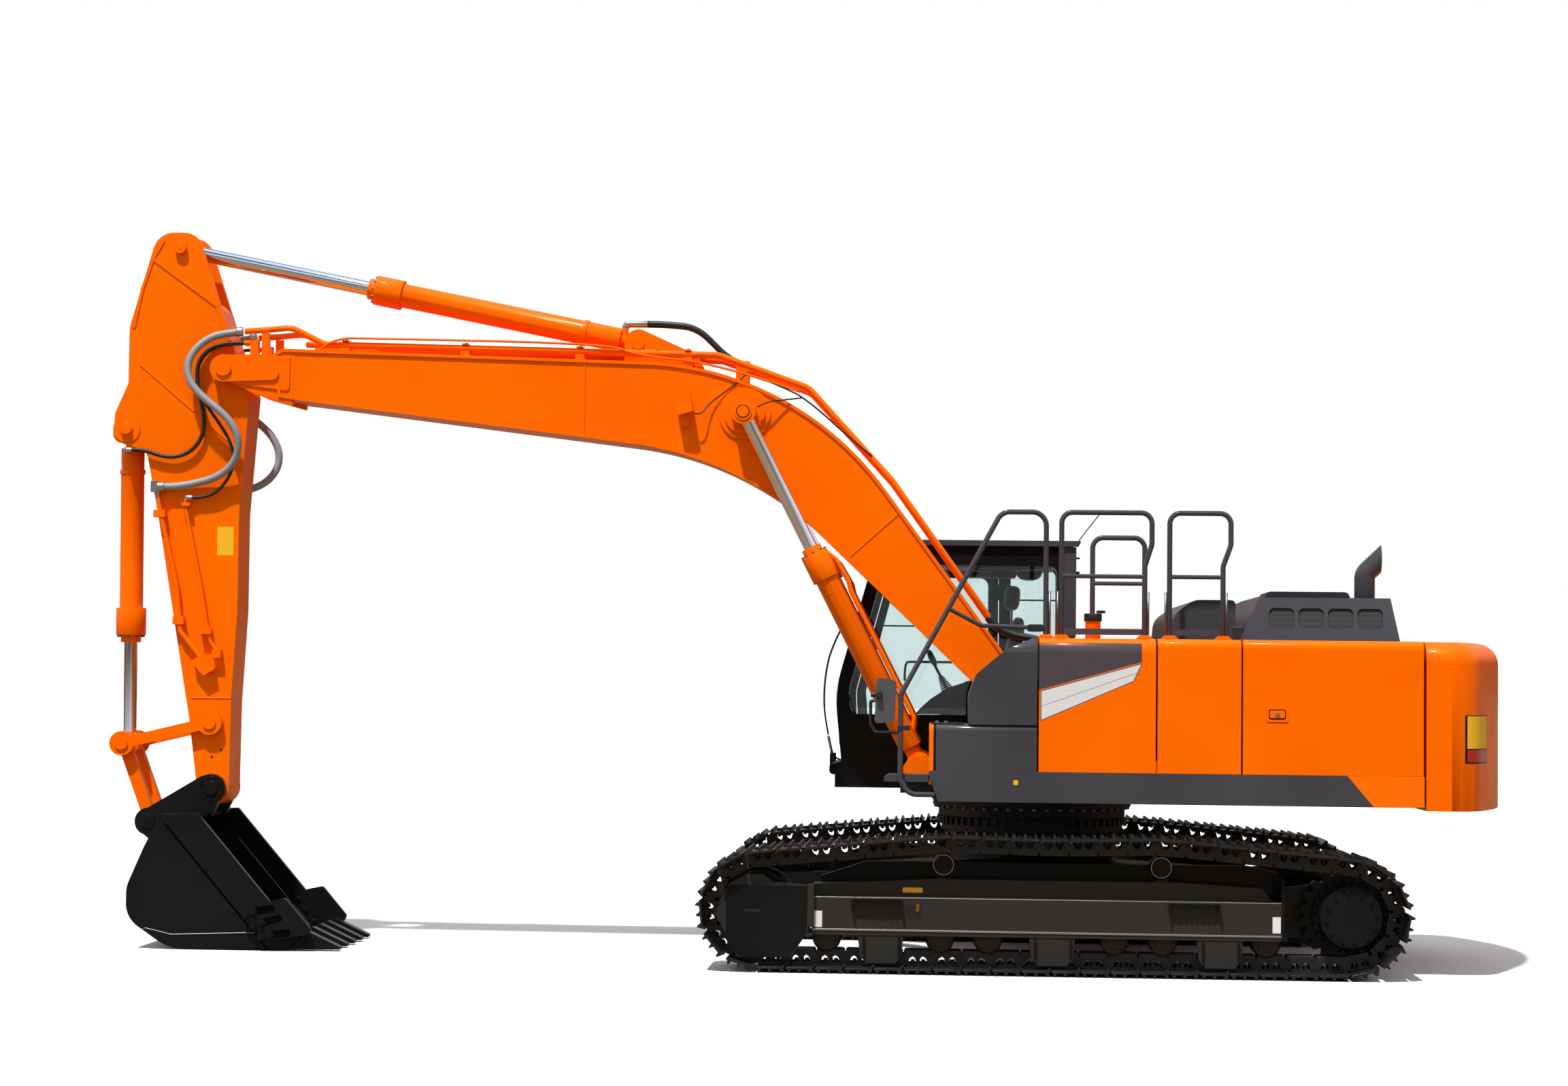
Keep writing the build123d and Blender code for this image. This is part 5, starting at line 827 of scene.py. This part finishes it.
FLOOR_WELD = [(-6.045, 0, 0.132), (-6.022, 0, 0.142), (-5.950, 0, 0.126), (-5.844, 0, 0.101),
              (-5.600, 0, 0.110), (-5.262, 0, 0.122)]


def by_edge(down, ahead):
    """A point by its distances down the mouth's edge and ahead of it."""
    return EDGE_TOP + EDGE_RUN * down + EDGE_AHEAD * ahead


BLADE_WELD = [by_edge(down, BLADE_WELD_AT) for down in (0.16, 0.55, 0.98)]
# a dark strip behind the blade's rear edge: painted shadow of that edge
BLADE_EDGE_SHADOW = [by_edge(down, BLADE_SHADOW_AT - drop)
          for down, drop in ((-0.10, 0.001), (1.04, 0.001), (1.04, 0.016), (-0.10, 0.016))]


def stadium(first, last, half, steps=8):
    """The outline of a bar with two round ends."""
    first, last = Vector(first), Vector(last)
    heading = math.atan2(last.y - first.y, last.x - first.x)
    outline = []
    for centre, start in ((last, heading - math.pi / 2), (first, heading + math.pi / 2)):
        for step in range(steps + 1):
            turn = start + math.pi * step / steps
            outline.append((centre.x + half * math.cos(turn), centre.y + half * math.sin(turn)))
    return outline


# the cutter pockets, the rings round their bolts and the strip along the blade are near-black sheets:
# painted shade
pocket_shade, heads, lines = bmesh.new(), bmesh.new(), bmesh.new()
for side in (-1, 1):
    for low, high, end in POCKETS:
        on_side(pocket_shade, side, stadium(high, end, POCKET_HALF), CUTTER_FACE, CUTTER_FACE + 0.0008)
        for x, z in (low, high):
            disc(pocket_shade, (x, side * CUTTER_FACE, z), (0, side, 0), 0.027, 0.0012, 24)
            bolt(heads, (x, side * (CUTTER_FACE + 0.001), z), (0, side, 0), 0.038)
    for x, z in HEADS_INSIDE:
        disc(heads, (x, side * WALL_INSIDE, z), (0, -side, 0), 0.018, 0.012, 20, 0.010)
    on_side(pocket_shade, side, [(spot.x, spot.z) for spot in BLADE_EDGE_SHADOW], WALL_FACE, WALL_FACE + 0.0006)
    for weld, y in ((FLOOR_WELD, WALL_FACE), (BLADE_WELD, WALL_INSIDE)):
        beads = evenly([at(x, side * y, z) for x, _, z in weld], 0.007)
        skin(lines, beads, lambda number: 0.0045 if number % 2 else 0.0035, 8)
piece("cutter_pocket_shade", pocket_shade, recess_shade, "bucket")
piece("cutter_bolts", heads, black_paint, "bucket")
smooth(piece("bucket_welds", lines, bare_steel, "bucket"))

# %% Pipe clamps on the boom, and the cylinders' gland bolts
PIPES_START, PIPES_END = (-5.08, 4.178), (-2.19, 4.115)     # the boom pipes' straight stretch
CLAMP_UNDER, CLAMP_TOP = 0.0215, 0.030                      # above the pipes' middle
shape = bmesh.new()
for x in (-4.79, -3.95, -3.15, -2.40):
    share = (x - PIPES_START[0]) / (PIPES_END[0] - PIPES_START[0])
    z = PIPES_START[1] + share * (PIPES_END[1] - PIPES_START[1])
    for y in (-0.1825, 0.1825):
        cuboid(shape, x - 0.022, x + 0.022, y - 0.060, y + 0.060, z + CLAMP_UNDER, z + CLAMP_TOP)
        bolt(shape, (x, y, z + CLAMP_TOP), (0, 0, 1), 0.020)
piece("pipe_clamp_plates", shape, orange_paint, "boom")

GLANDS = [
    # foot and eye of the cylinder, distance along it, circle radius, count, body
    ((-0.775, -0.385, 1.311), (-1.998, -0.385, 3.706), 1.600, 0.082, 8, "boom_barrels"),
    ((-0.775, 0.385, 1.311), (-1.998, 0.385, 3.706), 1.600, 0.082, 8, "boom_barrels"),
    ((-2.760, 0.0, 4.210), (-5.976, 0.0, 4.852), 1.898, 0.091, 10, "arm_barrel"),
    ((-6.335, 0.0, 3.578), (-6.315, 0.0, 1.385), 1.438, 0.089, 8, "bucket_barrel"),
]
for number, (foot, eye, reach, radius, count, body) in enumerate(GLANDS):
    foot, eye = Vector(foot), Vector(eye)
    ahead = (eye - foot).normalized()
    across = Vector((0, 1, 0))
    over = ahead.cross(across)
    shape = bmesh.new()
    for k in range(count):
        turn = 2 * math.pi * k / count
        spot = foot + ahead * reach + (across * math.cos(turn) + over * math.sin(turn)) * radius
        disc(shape, spot, ahead, 0.010, 0.014, 12)
    piece(f"gland_bolts_{number + 1}", shape, bare_steel, body)

# %% Fittings of the undercarriage
# A side beam's outer face, and what is welded or bolted to it. Both sides are alike.
BEAM_FACE = 1.485
STEP_OUT = 0.055            # how far a boarding step stands off the beam
STEP_X = ((-1.191, -0.862), (0.839, 1.168))
ROLLER_X = (-1.350, -1.000, -0.620, -0.310, 0.100, 0.500, 0.810, 1.170, 1.470)
GUARDED_X = (-1.000, 0.100, 1.170)
ROLLER_Z, CARRIER_Z = 0.216, 0.693
PLATE = 0.012               # thickness of the small plates
# the outline of a zinc strip along the bottom flange's edge: its painted highlight
FLANGE_HIGHLIGHT = [(-1.440, 0.268), (1.560, 0.263), (1.560, 0.275), (-1.440, 0.280)]
INNER_WALL = [(-1.40, 0.485), (1.56, 0.485), (1.56, 0.66), (1.38, 0.70), (-1.10, 0.70), (-1.40, 0.60)]
END_PLATE = [(1.562, 0.240), (1.605, 0.240), (1.580, 0.300), (1.580, 0.630), (1.562, 0.640)]
IDLER_GUARD = [(-1.996, 0.553), (-1.475, 0.553), (-1.475, 0.262), (-1.590, 0.098), (-1.905, 0.098),
               (-1.996, 0.200)]


def toothed_tread(low, high):
    """Side view of a boarding step's tread, with grip teeth under its edge."""
    outline = [(low, 0.478), (low, 0.470)]
    for tooth in range(7):
        x = low + 0.045 + tooth * 0.036
        outline += [(x, 0.470), (x + 0.006, 0.458), (x + 0.018, 0.458), (x + 0.024, 0.470)]
    return outline + [(high, 0.470), (high, 0.478)]


for side, name in ((-1, "left"), (1, "right")):
    bright, dark, gloss = bmesh.new(), bmesh.new(), bmesh.new()
    # painted highlights: thin zinc strips where the bottom flange's edge mirrors the ground and the top edge
    # mirrors the sky
    on_side(bright, side, FLANGE_HIGHLIGHT, BEAM_FACE, BEAM_FACE + 0.005)
    on_side(bright, side, rectangle(-1.440, 1.560, 0.479, 0.484), BEAM_FACE, BEAM_FACE + 0.002)
    # inner wall behind the carrier rollers, and the beam's end plate
    on_side(gloss, side, INNER_WALL, 1.120, 1.180)
    on_side(gloss, side, END_PLATE, 1.180, BEAM_FACE)
    # boarding steps: two cheeks and a tread with a toothed edge
    for low, high in STEP_X:
        for x in (low, high - PLATE):
            on_side(gloss, side, rectangle(x, x + PLATE, 0.415, 0.470), BEAM_FACE, BEAM_FACE + STEP_OUT)
        on_side(gloss, side, toothed_tread(low, high), BEAM_FACE, BEAM_FACE + STEP_OUT)
    # roller ends: rings and caps
    for x in ROLLER_X:
        for radius, height in ((0.078, 0.003), (0.046, 0.010), (0.022, 0.014)):
            disc(dark, (x, side * 1.400, ROLLER_Z), (0, side, 0), radius, height, 28)
    for x in CARRIER_X:
        disc(bright, (x, side * 1.390, CARRIER_Z), (0, side, 0), 0.067, 0.003, 36)
        for radius, height in ((0.063, 0.005), (0.050, 0.002), (0.044, 0.008), (0.024, 0.012)):
            disc(gloss, (x, side * 1.390, CARRIER_Z), (0, side, 0), radius, height, 32)
        saddle = [(x - 0.050, 0.590), (x + 0.050, 0.590), (x + 0.040, 0.618), (x - 0.040, 0.618)]
        on_side(gloss, side, saddle, 1.300, 1.395)
    # fins in front of the track guards
    for x in GUARDED_X:
        for fin in (-0.115, 0.112):
            on_side(gloss, side, rectangle(x + fin, x + fin + PLATE, 0.110, 0.235), 1.480, 1.502)
    # the idler guard's outer plate; its slot and the valve's opening in the beam are thin dark sheets,
    # painted shade where the holes are
    on_side(gloss, side, IDLER_GUARD, 1.505, 1.509)
    on_side(dark, side, rounded(-1.882, -1.772, 0.380, 0.398, 0.009), 1.509, 1.510)
    on_side(dark, side, rounded(-0.840, -0.740, 0.345, 0.446, 0.028), BEAM_FACE, BEAM_FACE + 0.001)
    # the zinc strips are painted highlights of the beam's edges
    for shape, label, finish in ((bright, "edge_highlights_and_roller_rims", zinc), (dark, "roller_ends_and_hole_shade", forged),
                                 (gloss, "beam_fittings", black_paint)):
        piece(f"{label}_{name}", shape, finish, "undercarriage", 0.0015)

# grease valve of the track's tension cylinder
shape = bmesh.new()
disc(shape, (-0.765, -1.484, 0.405), (0, -1, 0), 0.013, 0.008, 6)
disc(shape, (-0.765, -1.486, 0.428), (0, -1, 0), 0.008, 0.006, 12)
cuboid(shape, -0.772, -0.752, -1.490, -1.485, 0.410, 0.440)
piece("tension_valve", shape, brass, "undercarriage", 0.001)

# %% Bolts of the slew bearing
RINGS = [
    # name, body, finish, count, circle radius, height, way up, bolt radius, length, sides
    ("bearing_studs", "undercarriage", forged, 60, 0.634, 0.905, 1, 0.013, 0.052, 8),
    ("bearing_bolts", "house", bare_steel, 48, 0.660, 1.030, -1, 0.015, 0.016, 6),
]
for name, body, finish, count, circle, z, way, radius, length, sides in RINGS:
    shape = bmesh.new()
    for number in range(count):
        turn = 2 * math.pi * number / count
        spot = (circle * math.cos(turn), circle * math.sin(turn), z)
        disc(shape, spot, (0, 0, way), radius, length, sides)
    piece(name, shape, finish, body)

# %% Weld beads
ARM_SIDE, BOOM_SIDE = -0.172, -0.253
BEADS = [
    # name, body, width, side face, points in side view
    ("arm_seam_slanted", "arm", 0.014, ARM_SIDE, [(-6.25, 4.03), (-5.78, 3.635), (-5.54, 3.43)]),
    ("arm_seam_low", "arm", 0.012, ARM_SIDE, [(-5.845, 1.706), (-5.565, 1.706)]),
    ("boom_seam_front", "boom", 0.012, BOOM_SIDE, [(-3.11, 4.05), (-3.11, 3.56)]),
    ("boom_seam_leg", "boom", 0.012, BOOM_SIDE, [(-1.28, 2.71), (-0.94, 3.015)]),
]
for name, body, width, y, points in BEADS:
    for side, label in ((1, name), (-1, name + "_far")):
        line = evenly([at(x, y * side, z) for x, z in points], 0.006)
        shape = bmesh.new()
        skin(shape, line, lambda number: width / 2 * (1.0 if number % 2 else 0.86), 8)
        smooth(piece(label, shape, orange_paint, body))

# %% Labels and the door's latch
PLATES = [
    # name, body, finish, outline in side view, outer face, thickness
    ("arm_label", "arm", yellow_label, rectangle(-5.68, -5.565, 2.70, 2.90), -0.1728, 0.0008),
    ("beam_label", "undercarriage", yellow_label, rectangle(-0.862, -0.734, 0.512, 0.545), -1.4058, 0.0008),
    ("skirt_marker", "house", yellow_label, rectangle(-0.155, -0.125, 1.215, 1.245), -1.4458, 0.0008),
    ("hook_label_front", "undercarriage", white_label, rectangle(-1.428, -1.378, 0.289, 0.393),
     -1.4858, 0.0008),
    ("hook_label_rear", "undercarriage", white_label, rectangle(1.503, 1.555, 0.292, 0.395),
     -1.4858, 0.0008),
    ("latch_frame", "side_door", orange_paint, rounded(1.462, 1.602, 1.640, 1.735, 0.012), -1.450, 0.004),
    # the latch's pocket is a near-black sheet: painted shade
    ("latch_pocket_shade", "side_door", recess_shade, rounded(1.478, 1.586, 1.656, 1.720, 0.010), -1.4505, 0.0006),
    ("latch_lever", "side_door", orange_paint, rounded(1.484, 1.580, 1.664, 1.714, 0.008), -1.455, 0.004),
]
for name, body, finish, outline, face, thick in PLATES:
    shape = bmesh.new()
    prism(shape, outline, face, face + thick)
    piece(name, shape, finish, body)

shape = bmesh.new()
disc(shape, (1.532, -1.455, 1.689), (0, -1, 0), 0.015, 0.006, 24)
disc(shape, (1.532, -1.461, 1.689), (0, -1, 0), 0.006, 0.003, 12)
piece("latch_lock", shape, zinc, "side_door", 0.001)

# %% Blank labels and reflectors, bent round the counterweight's tail
LABELS_AT_TAIL = [
    # name, finish, low, high, from and to angle behind the swing axis, lift off the paint
    ("tail_label_edge", black_paint, 1.386, 1.696, 0.380, 0.482, 0.0006),
    ("tail_label", yellow_label, 1.482, 1.690, 0.384, 0.478, 0.0016),
    ("tail_reflector", red_lens, 1.396, 1.474, 0.384, 0.478, 0.0016),
]
RAY_START = 3.6             # clear of the tail
LABEL_STEPS = 16
tail = nodes["counterweight"]


def tail_spot(turn, z, lift):
    """The point of the counterweight's skin at a turn round the swing axis."""
    place, to_local = tail.matrix_world, tail.matrix_world.inverted()
    outside = at(RAY_START * math.cos(turn), RAY_START * math.sin(turn), z)
    inward = to_local.to_3x3() @ (at(0, 0, z) - outside)
    _, spot, normal, _ = tail.ray_cast(to_local @ outside, inward.normalized())
    return place @ spot + (place.to_3x3() @ normal) * lift


for name, finish, low, high, start, end, lift in LABELS_AT_TAIL:
    shape = bmesh.new()
    for side in (-1, 1):
        turns = [side * (start + (end - start) * step / LABEL_STEPS) for step in range(LABEL_STEPS + 1)]
        under, over = ([shape.verts.new(tail_spot(turn, z, lift)) for turn in turns] for z in (low, high))
        for k in range(LABEL_STEPS):
            shape.faces.new((under[k], under[k + 1], over[k + 1], over[k]))
    made = piece(name, shape, finish, "house")
    film = made.modifiers.new("film", "SOLIDIFY")
    film.thickness, film.offset = 0.001, 0
print("details placed")

# %% [markdown]
# ## Inside the cab
#
# The operator's chair has a steel box with a rubber bellows, a padded seat, a tall back and
# a headrest on two posts. Each pad is a closed, crowned form that pulls in towards its
# edges. The consoles carry a lever with a ribbed boot.

# %% Padded forms
CAB_Y = 0.9685              # middle of the cab


def swell(value, puff):
    """Bends a circle's coordinate towards a rounded square."""
    return math.copysign(abs(value) ** (2 / puff), value)


def pad(shape, centre, half, lean=0.0, puff=3.2, across=28, down=18):
    """Adds a closed pad: flat in the middle and pulled in at its rim, leaned about Y."""
    turn = Matrix.Rotation(lean, 4, "Y")
    middle = at(*centre)
    rows = []
    for row in range(down + 1):
        tilt = math.pi * row / down - math.pi / 2
        ring = []
        girth, height = swell(math.cos(tilt), puff), swell(math.sin(tilt), puff)
        for column in range(across):
            spin = 2 * math.pi * column / across
            point = Vector((girth * swell(math.cos(spin), puff) * half[0],
                            girth * swell(math.sin(spin), puff) * half[1], height * half[2]))
            ring.append(shape.verts.new(middle + turn @ point))
        rows.append(ring)
    for low, high in zip(rows, rows[1:]):
        for column in range(across):
            after = (column + 1) % across
            shape.faces.new((low[column], low[after], high[after], high[column]))
    bmesh.ops.remove_doubles(shape, verts=shape.verts, dist=0.0002)


PADS = [
    # centre, half size, lean
    ((-0.390, CAB_Y, 1.630), (0.250, 0.250, 0.068), 0.05),          # seat
    ((-0.130, CAB_Y, 2.020), (0.060, 0.230, 0.330), 0.17),          # back
    ((-0.128, CAB_Y, 2.485), (0.058, 0.135, 0.088), 0.10),          # headrest
    ((-0.300, CAB_Y - 0.290, 1.860), (0.170, 0.045, 0.030), 0.0),   # arm rests
    ((-0.300, CAB_Y + 0.290, 1.860), (0.170, 0.045, 0.030), 0.0),
]
shape = bmesh.new()
for centre, half, lean in PADS:
    pad(shape, centre, half, lean)
chair = smooth(piece("padded_chair", shape, cloth, "house"))

# headrest posts, floor box, bellows and seat pan
CAB_FLOOR = 1.309
BOX_TOP, FOLD_HEIGHT, FOLD_DEPTH = 1.40, 0.035, 0.012
shape = bmesh.new()
for y in (-0.05, 0.05):
    skin(shape, [at(-0.130, CAB_Y + y, 2.28), at(-0.128, CAB_Y + y, 2.44)], lambda number: 0.007, 10)
prism(shape, [(-0.54, CAB_FLOOR), (-0.20, CAB_FLOOR), (-0.23, BOX_TOP), (-0.51, BOX_TOP)],
      CAB_Y - 0.17, CAB_Y + 0.17)
for fold in range(4):
    inset, z = FOLD_DEPTH * (fold % 2), BOX_TOP + fold * FOLD_HEIGHT
    cuboid(shape, -0.52 + inset, -0.22 - inset, CAB_Y - 0.16, CAB_Y + 0.16, z, z + FOLD_HEIGHT)
cuboid(shape, -0.56, -0.18, CAB_Y - 0.20, CAB_Y + 0.20, 1.540, 1.572)
stand = piece("chair_stand", shape, plastic, "house", 0.006)
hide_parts("operator_chair")
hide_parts("operator_chair")

# %% Consoles, levers and pedals
CONSOLE_OUT, CONSOLE_HALF = 0.340, 0.070    # from the cab's middle, and half its width
PEDAL_OUT, PEDAL_HALF = 0.090, 0.050
shape = bmesh.new()
for side in (-1, 1):
    # console, then the lever's ribbed boot, its rod and its grip
    y = CAB_Y + side * CONSOLE_OUT
    prism(shape, rounded(-0.640, 0.100, CAB_FLOOR, 1.830, 0.07), y - CONSOLE_HALF, y + CONSOLE_HALF)
    foot, top = Vector((-0.590, y, 1.820)), Vector((-0.690, y, 2.010))
    for fold in range(7):
        spot = foot.lerp(top, fold / 14)
        disc(shape, spot, top - foot, 0.046 - 0.004 * fold, 0.012, 18, 0.040 - 0.004 * fold)
    skin(shape, [at(*foot), at(*top)], lambda number: 0.010, 10)
    pad(shape, top + Vector((-0.012, 0, 0.035)), (0.022, 0.026, 0.062), -0.45, 2.6, 16, 12)
    # travel lever and its pedal
    y = CAB_Y + side * PEDAL_OUT
    lever = [at(-1.010, y, CAB_FLOOR), at(-1.010, y, 1.560), at(-0.960, y, 1.900)]
    skin(shape, lever, lambda number: 0.014, 12)
    prism(shape, [(-1.13, 1.330), (-0.93, 1.370), (-0.93, 1.382), (-1.13, 1.342)],
          y - PEDAL_HALF, y + PEDAL_HALF)
levers = piece("consoles_and_levers", shape, plastic, "house", 0.004)
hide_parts("controls")

# %% Cab fittings
CAB_PLATES = [
    # name, body, finish, outline in side view, from y, to y
    ("roof_gutter", "house", grey_paint,
     [(-0.96, 2.838), (0.330, 2.838), (0.346, 2.866), (0.346, 2.880), (-0.96, 2.880)], 0.462, 0.491),
    ("rear_pillar_cover", "house", grey_paint, rectangle(0.232, 0.316, 2.20, 2.836), 0.484, 0.4915),
    ("sill_fairing", "house", lining,
     [(-0.815, 1.642), (-0.789, 1.677), (-0.710, 1.750), (-0.631, 1.802), (-0.540, 1.848),
      (-0.447, 1.877), (0.180, 1.885), (0.180, 1.642)], 0.539, 0.549),
    ("roof_blind", "house", lining, rounded(-0.452, -0.100, 2.630, 2.668, 0.012), 0.80, 1.12),
    ("blind_holder", "house", lining, rectangle(-0.225, -0.205, 2.585, 2.640), 0.95, 0.97),
    ("header_lining", "house", lining,
     [(-1.03, 2.700), (0.18, 2.700), (0.18, 2.690), (-0.10, 2.672), (-0.45, 2.690)], 0.540, 1.395),
    ("pillar_clips", "house", black_paint, rectangle(0.311, 0.346, 2.757, 2.769), 0.60, 0.66),
    ("pillar_catch", "house", black_paint, rectangle(0.311, 0.345, 2.640, 2.668), 0.60, 0.66),
    ("storage_top", "house", black_paint, rectangle(-0.690, -0.474, 1.6005, 1.607), -1.42, -1.10),
    ("rail_sleeve", "house", rubber, rounded(-0.072, 0.040, 2.206, 2.254, 0.02), -1.317, -1.263),
    ("work_light", "house", plastic,
     [(1.262, 2.172), (1.300, 2.172), (1.300, 2.205), (1.326, 2.212), (1.320, 2.252), (1.262, 2.246)],
     -1.36, -1.29),
    ("hood_vent", "hood", plastic,
     [(1.490, 2.452), (1.506, 2.484), (1.530, 2.491), (2.010, 2.491), (2.034, 2.484), (2.050, 2.452)],
     -1.02, -0.60),
    ("filler_latch", "house", plastic, rectangle(0.385, 0.442, 2.332, 2.352), -1.165, -1.135),
    ("roof_hatch_front", "house", black_paint, rounded(-0.628, -0.505, 2.876, 2.890, 0.006), 0.75, 1.15),
    ("roof_hatch_handle", "house", black_paint, rounded(-0.130, -0.052, 2.876, 2.892, 0.006), 0.80, 0.86),
    ("grab_bar_block", "house", black_paint, rounded(-1.452, -1.405, 1.240, 1.345, 0.01), 1.385, 1.415),
]
THIN = 0.020                # plates no thicker than this keep their edges sharp
for name, body, finish, outline, start, end in CAB_PLATES:
    shape = bmesh.new()
    prism(shape, outline, start, end)
    piece(name, shape, finish, body, EDGE if end - start > THIN else 0.0)

shape = bmesh.new()
pad(shape, (-0.005, CAB_Y, 2.680), (0.095, 0.10, 0.068), 0, 2.4)
smooth(piece("ceiling_pod", shape, lining, "house"))

# %% Feet of the handrails: an orange pad under each leg, and a steel socket beside it
RAIL_Y, PAD_UNDER, PAD_TOP = -1.290, 2.1655, 2.188
LEGS = ((0.050, 0.024), (0.150, -0.024), (0.690, 0.022), (0.850, -0.024), (1.195, 0.022))
shape, sockets = bmesh.new(), bmesh.new()
for leg, beside in LEGS:
    foot = [(leg - 0.055, PAD_UNDER), (leg + 0.055, PAD_UNDER),
            (leg + 0.034, PAD_TOP), (leg - 0.034, PAD_TOP)]
    prism(shape, foot, -1.335, -1.255)
    x = leg + beside
    skin(sockets, [at(x, RAIL_Y, 2.190), at(x, RAIL_Y, 2.470)], lambda number: 0.009, 10)
piece("rail_pads", shape, orange_paint, "house", 0.003)
smooth(piece("rail_sockets", sockets, bare_steel, "house"))

# %% The mirror's ball joint and the clamp of its arm
ARM_Y, JOINT_Z = -1.426, 1.786
shape = bmesh.new()
disc(shape, (-1.026, -1.462, JOINT_Z), (0, -1, 0), 0.026, 0.020, 20, 0.018)
disc(shape, (-1.026, -1.482, JOINT_Z), (0, -1, 0), 0.020, 0.016, 20)
disc(shape, (-1.050, ARM_Y, JOINT_Z), (-1, 0, 0), 0.016, 0.030, 16)
cuboid(shape, -0.905, -0.835, ARM_Y - 0.020, ARM_Y + 0.020, 1.558, 1.590)
for z in (1.566, 1.582):
    disc(shape, (-0.835, ARM_Y, z), (1, 0, 0), 0.008, 0.012, 6)
piece("mirror_joint", shape, plastic, "house", 0.002)

# %% Storage box bolts
shape = bmesh.new()
for x in (-0.650, -0.592):
    bolt(shape, (x, -1.38, 1.607), (0, 0, 1), 0.026)
piece("storage_bolts", shape, zinc, "house")
print("cab fitted out")

# %% [markdown]
# ## Floor, light and camera
#
# The machine stands on a pale sweep in clear daylight. A narrow, strong sun stands high in
# front on the left and draws firm shadows, and the world fills in from all round. What
# paint and chrome mirror is set by itself: dark and warm near the ground, bright and blue
# overhead. The camera stands about 21 m off, with a long lens.

# %% Stage
def look_matrix(place, forward, right):
    """Camera matrix from a place and two directions."""
    forward = Vector(forward).normalized()
    right = Vector(right)
    right = (right - forward * right.dot(forward)).normalized()
    up = right.cross(forward)
    matrix = Matrix((right, up, -forward)).transposed().to_4x4()
    matrix.translation = place
    return matrix


CAMERA_AT = at(-0.553, -21.5, 1.87)
CAMERA_AHEAD, CAMERA_RIGHT = (-0.05467, 0.99752, 0.04439), (0.99847, 0.05424, 0.01099)
camera_data = bpy.data.cameras.new("camera")
camera_data.lens = 71.1
camera_data.sensor_width = 36
camera_data.clip_end = 400
camera = bpy.data.objects.new("camera", camera_data)
bpy.context.collection.objects.link(camera)
camera.matrix_world = look_matrix(CAMERA_AT, CAMERA_AHEAD, CAMERA_RIGHT)
bpy.context.scene.camera = camera

floor_mesh = bpy.data.meshes.new("floor")
shape = bmesh.new()
bmesh.ops.create_grid(shape, x_segments=1, y_segments=1, size=200)
shape.to_mesh(floor_mesh)
floor = bpy.data.objects.new("floor", floor_mesh)
bpy.context.collection.objects.link(floor)
floor_material, floor_tree, floor_shader = surface("pale_floor", Base_Color=linear("#F4F4F4"), Roughness=0.9)
floor.data.materials.append(floor_material)

# The floor looks pale, but throws back no more light than a paved yard does.
yard = add(floor_tree, "ShaderNodeBsdfDiffuse", {"Color": linear("#7C6E5C")}).outputs[0]
ray = add(floor_tree, "ShaderNodeLightPath").outputs
looked_at = compute(floor_tree, "MAXIMUM", ray["Is Camera Ray"], ray["Is Transmission Ray"])
either = add(floor_tree, "ShaderNodeMixShader", {0: looked_at, 1: yard, 2: floor_shader.outputs[0]})
floor_tree.links.new(either.outputs[0], floor_tree.nodes["Material Output"].inputs["Surface"])

# %% Light
FILL = 0.60                 # strength of the sky's soft light
MIRRORED_HORIZON = 0.08     # what paint and chrome mirror level with the ground, and overhead
MIRRORED_SKY = 1.3
BELT_HEIGHT, BELT_HALF, BELT_SHARE = 0.72, 0.14, 0.12   # a dim belt high in the mirrored sky
sun_data = bpy.data.lights.new("key", "SUN")
sun_data.energy = 4.4
sun_data.angle = math.radians(2)
sun = bpy.data.objects.new("key", sun_data)
bpy.context.collection.objects.link(sun)
sun.rotation_euler = (math.radians(25), 0, math.radians(-23))

world = bpy.data.worlds.new("studio")
bpy.context.scene.world = world
world.use_nodes = True
studio = world.node_tree
ray = add(studio, "ShaderNodeLightPath").outputs
direction = add(studio, "ShaderNodeTexCoord").outputs["Generated"]
height = add(studio, "ShaderNodeSeparateXYZ", {"Vector": direction}).outputs["Z"]
brightness = ramp(studio, height, 0.02, 0.45, MIRRORED_HORIZON, MIRRORED_SKY)
# The belt draws the dark line along a polished rod.
in_belt = compute(studio, "COMPARE", height, BELT_HEIGHT, BELT_HALF)
mirrored = compute(studio, "MULTIPLY", brightness, ramp(studio, in_belt, 0.0, 1.0, 1.0, BELT_SHARE))
lit = add(studio, "ShaderNodeMix", {"Factor": ray["Is Glossy Ray"], "A": FILL, "B": mirrored})
seen = compute(studio, "MAXIMUM", ray["Is Camera Ray"], ray["Is Transmission Ray"])
strength = add(studio, "ShaderNodeMix", {"Factor": seen, "A": lit.outputs["Result"], "B": 1.0})
tint = ramp(studio, height, 0.0, 0.55, linear("#D9B48C"), linear("#CFE2FF"))
only_mirrored = compute(studio, "SUBTRACT", ray["Is Glossy Ray"], seen, use_clamp=True)
hue = add(studio, "ShaderNodeMixRGB", {"Fac": only_mirrored, "Color1": linear("#FFFFFF"), "Color2": tint})
background = studio.nodes["Background"].inputs
studio.links.new(strength.outputs["Result"], background["Strength"])
studio.links.new(hue.outputs["Color"], background["Color"])
bpy.context.scene.view_settings.view_transform = "Standard"

# %% The end
bpy.context.view_layer.update()
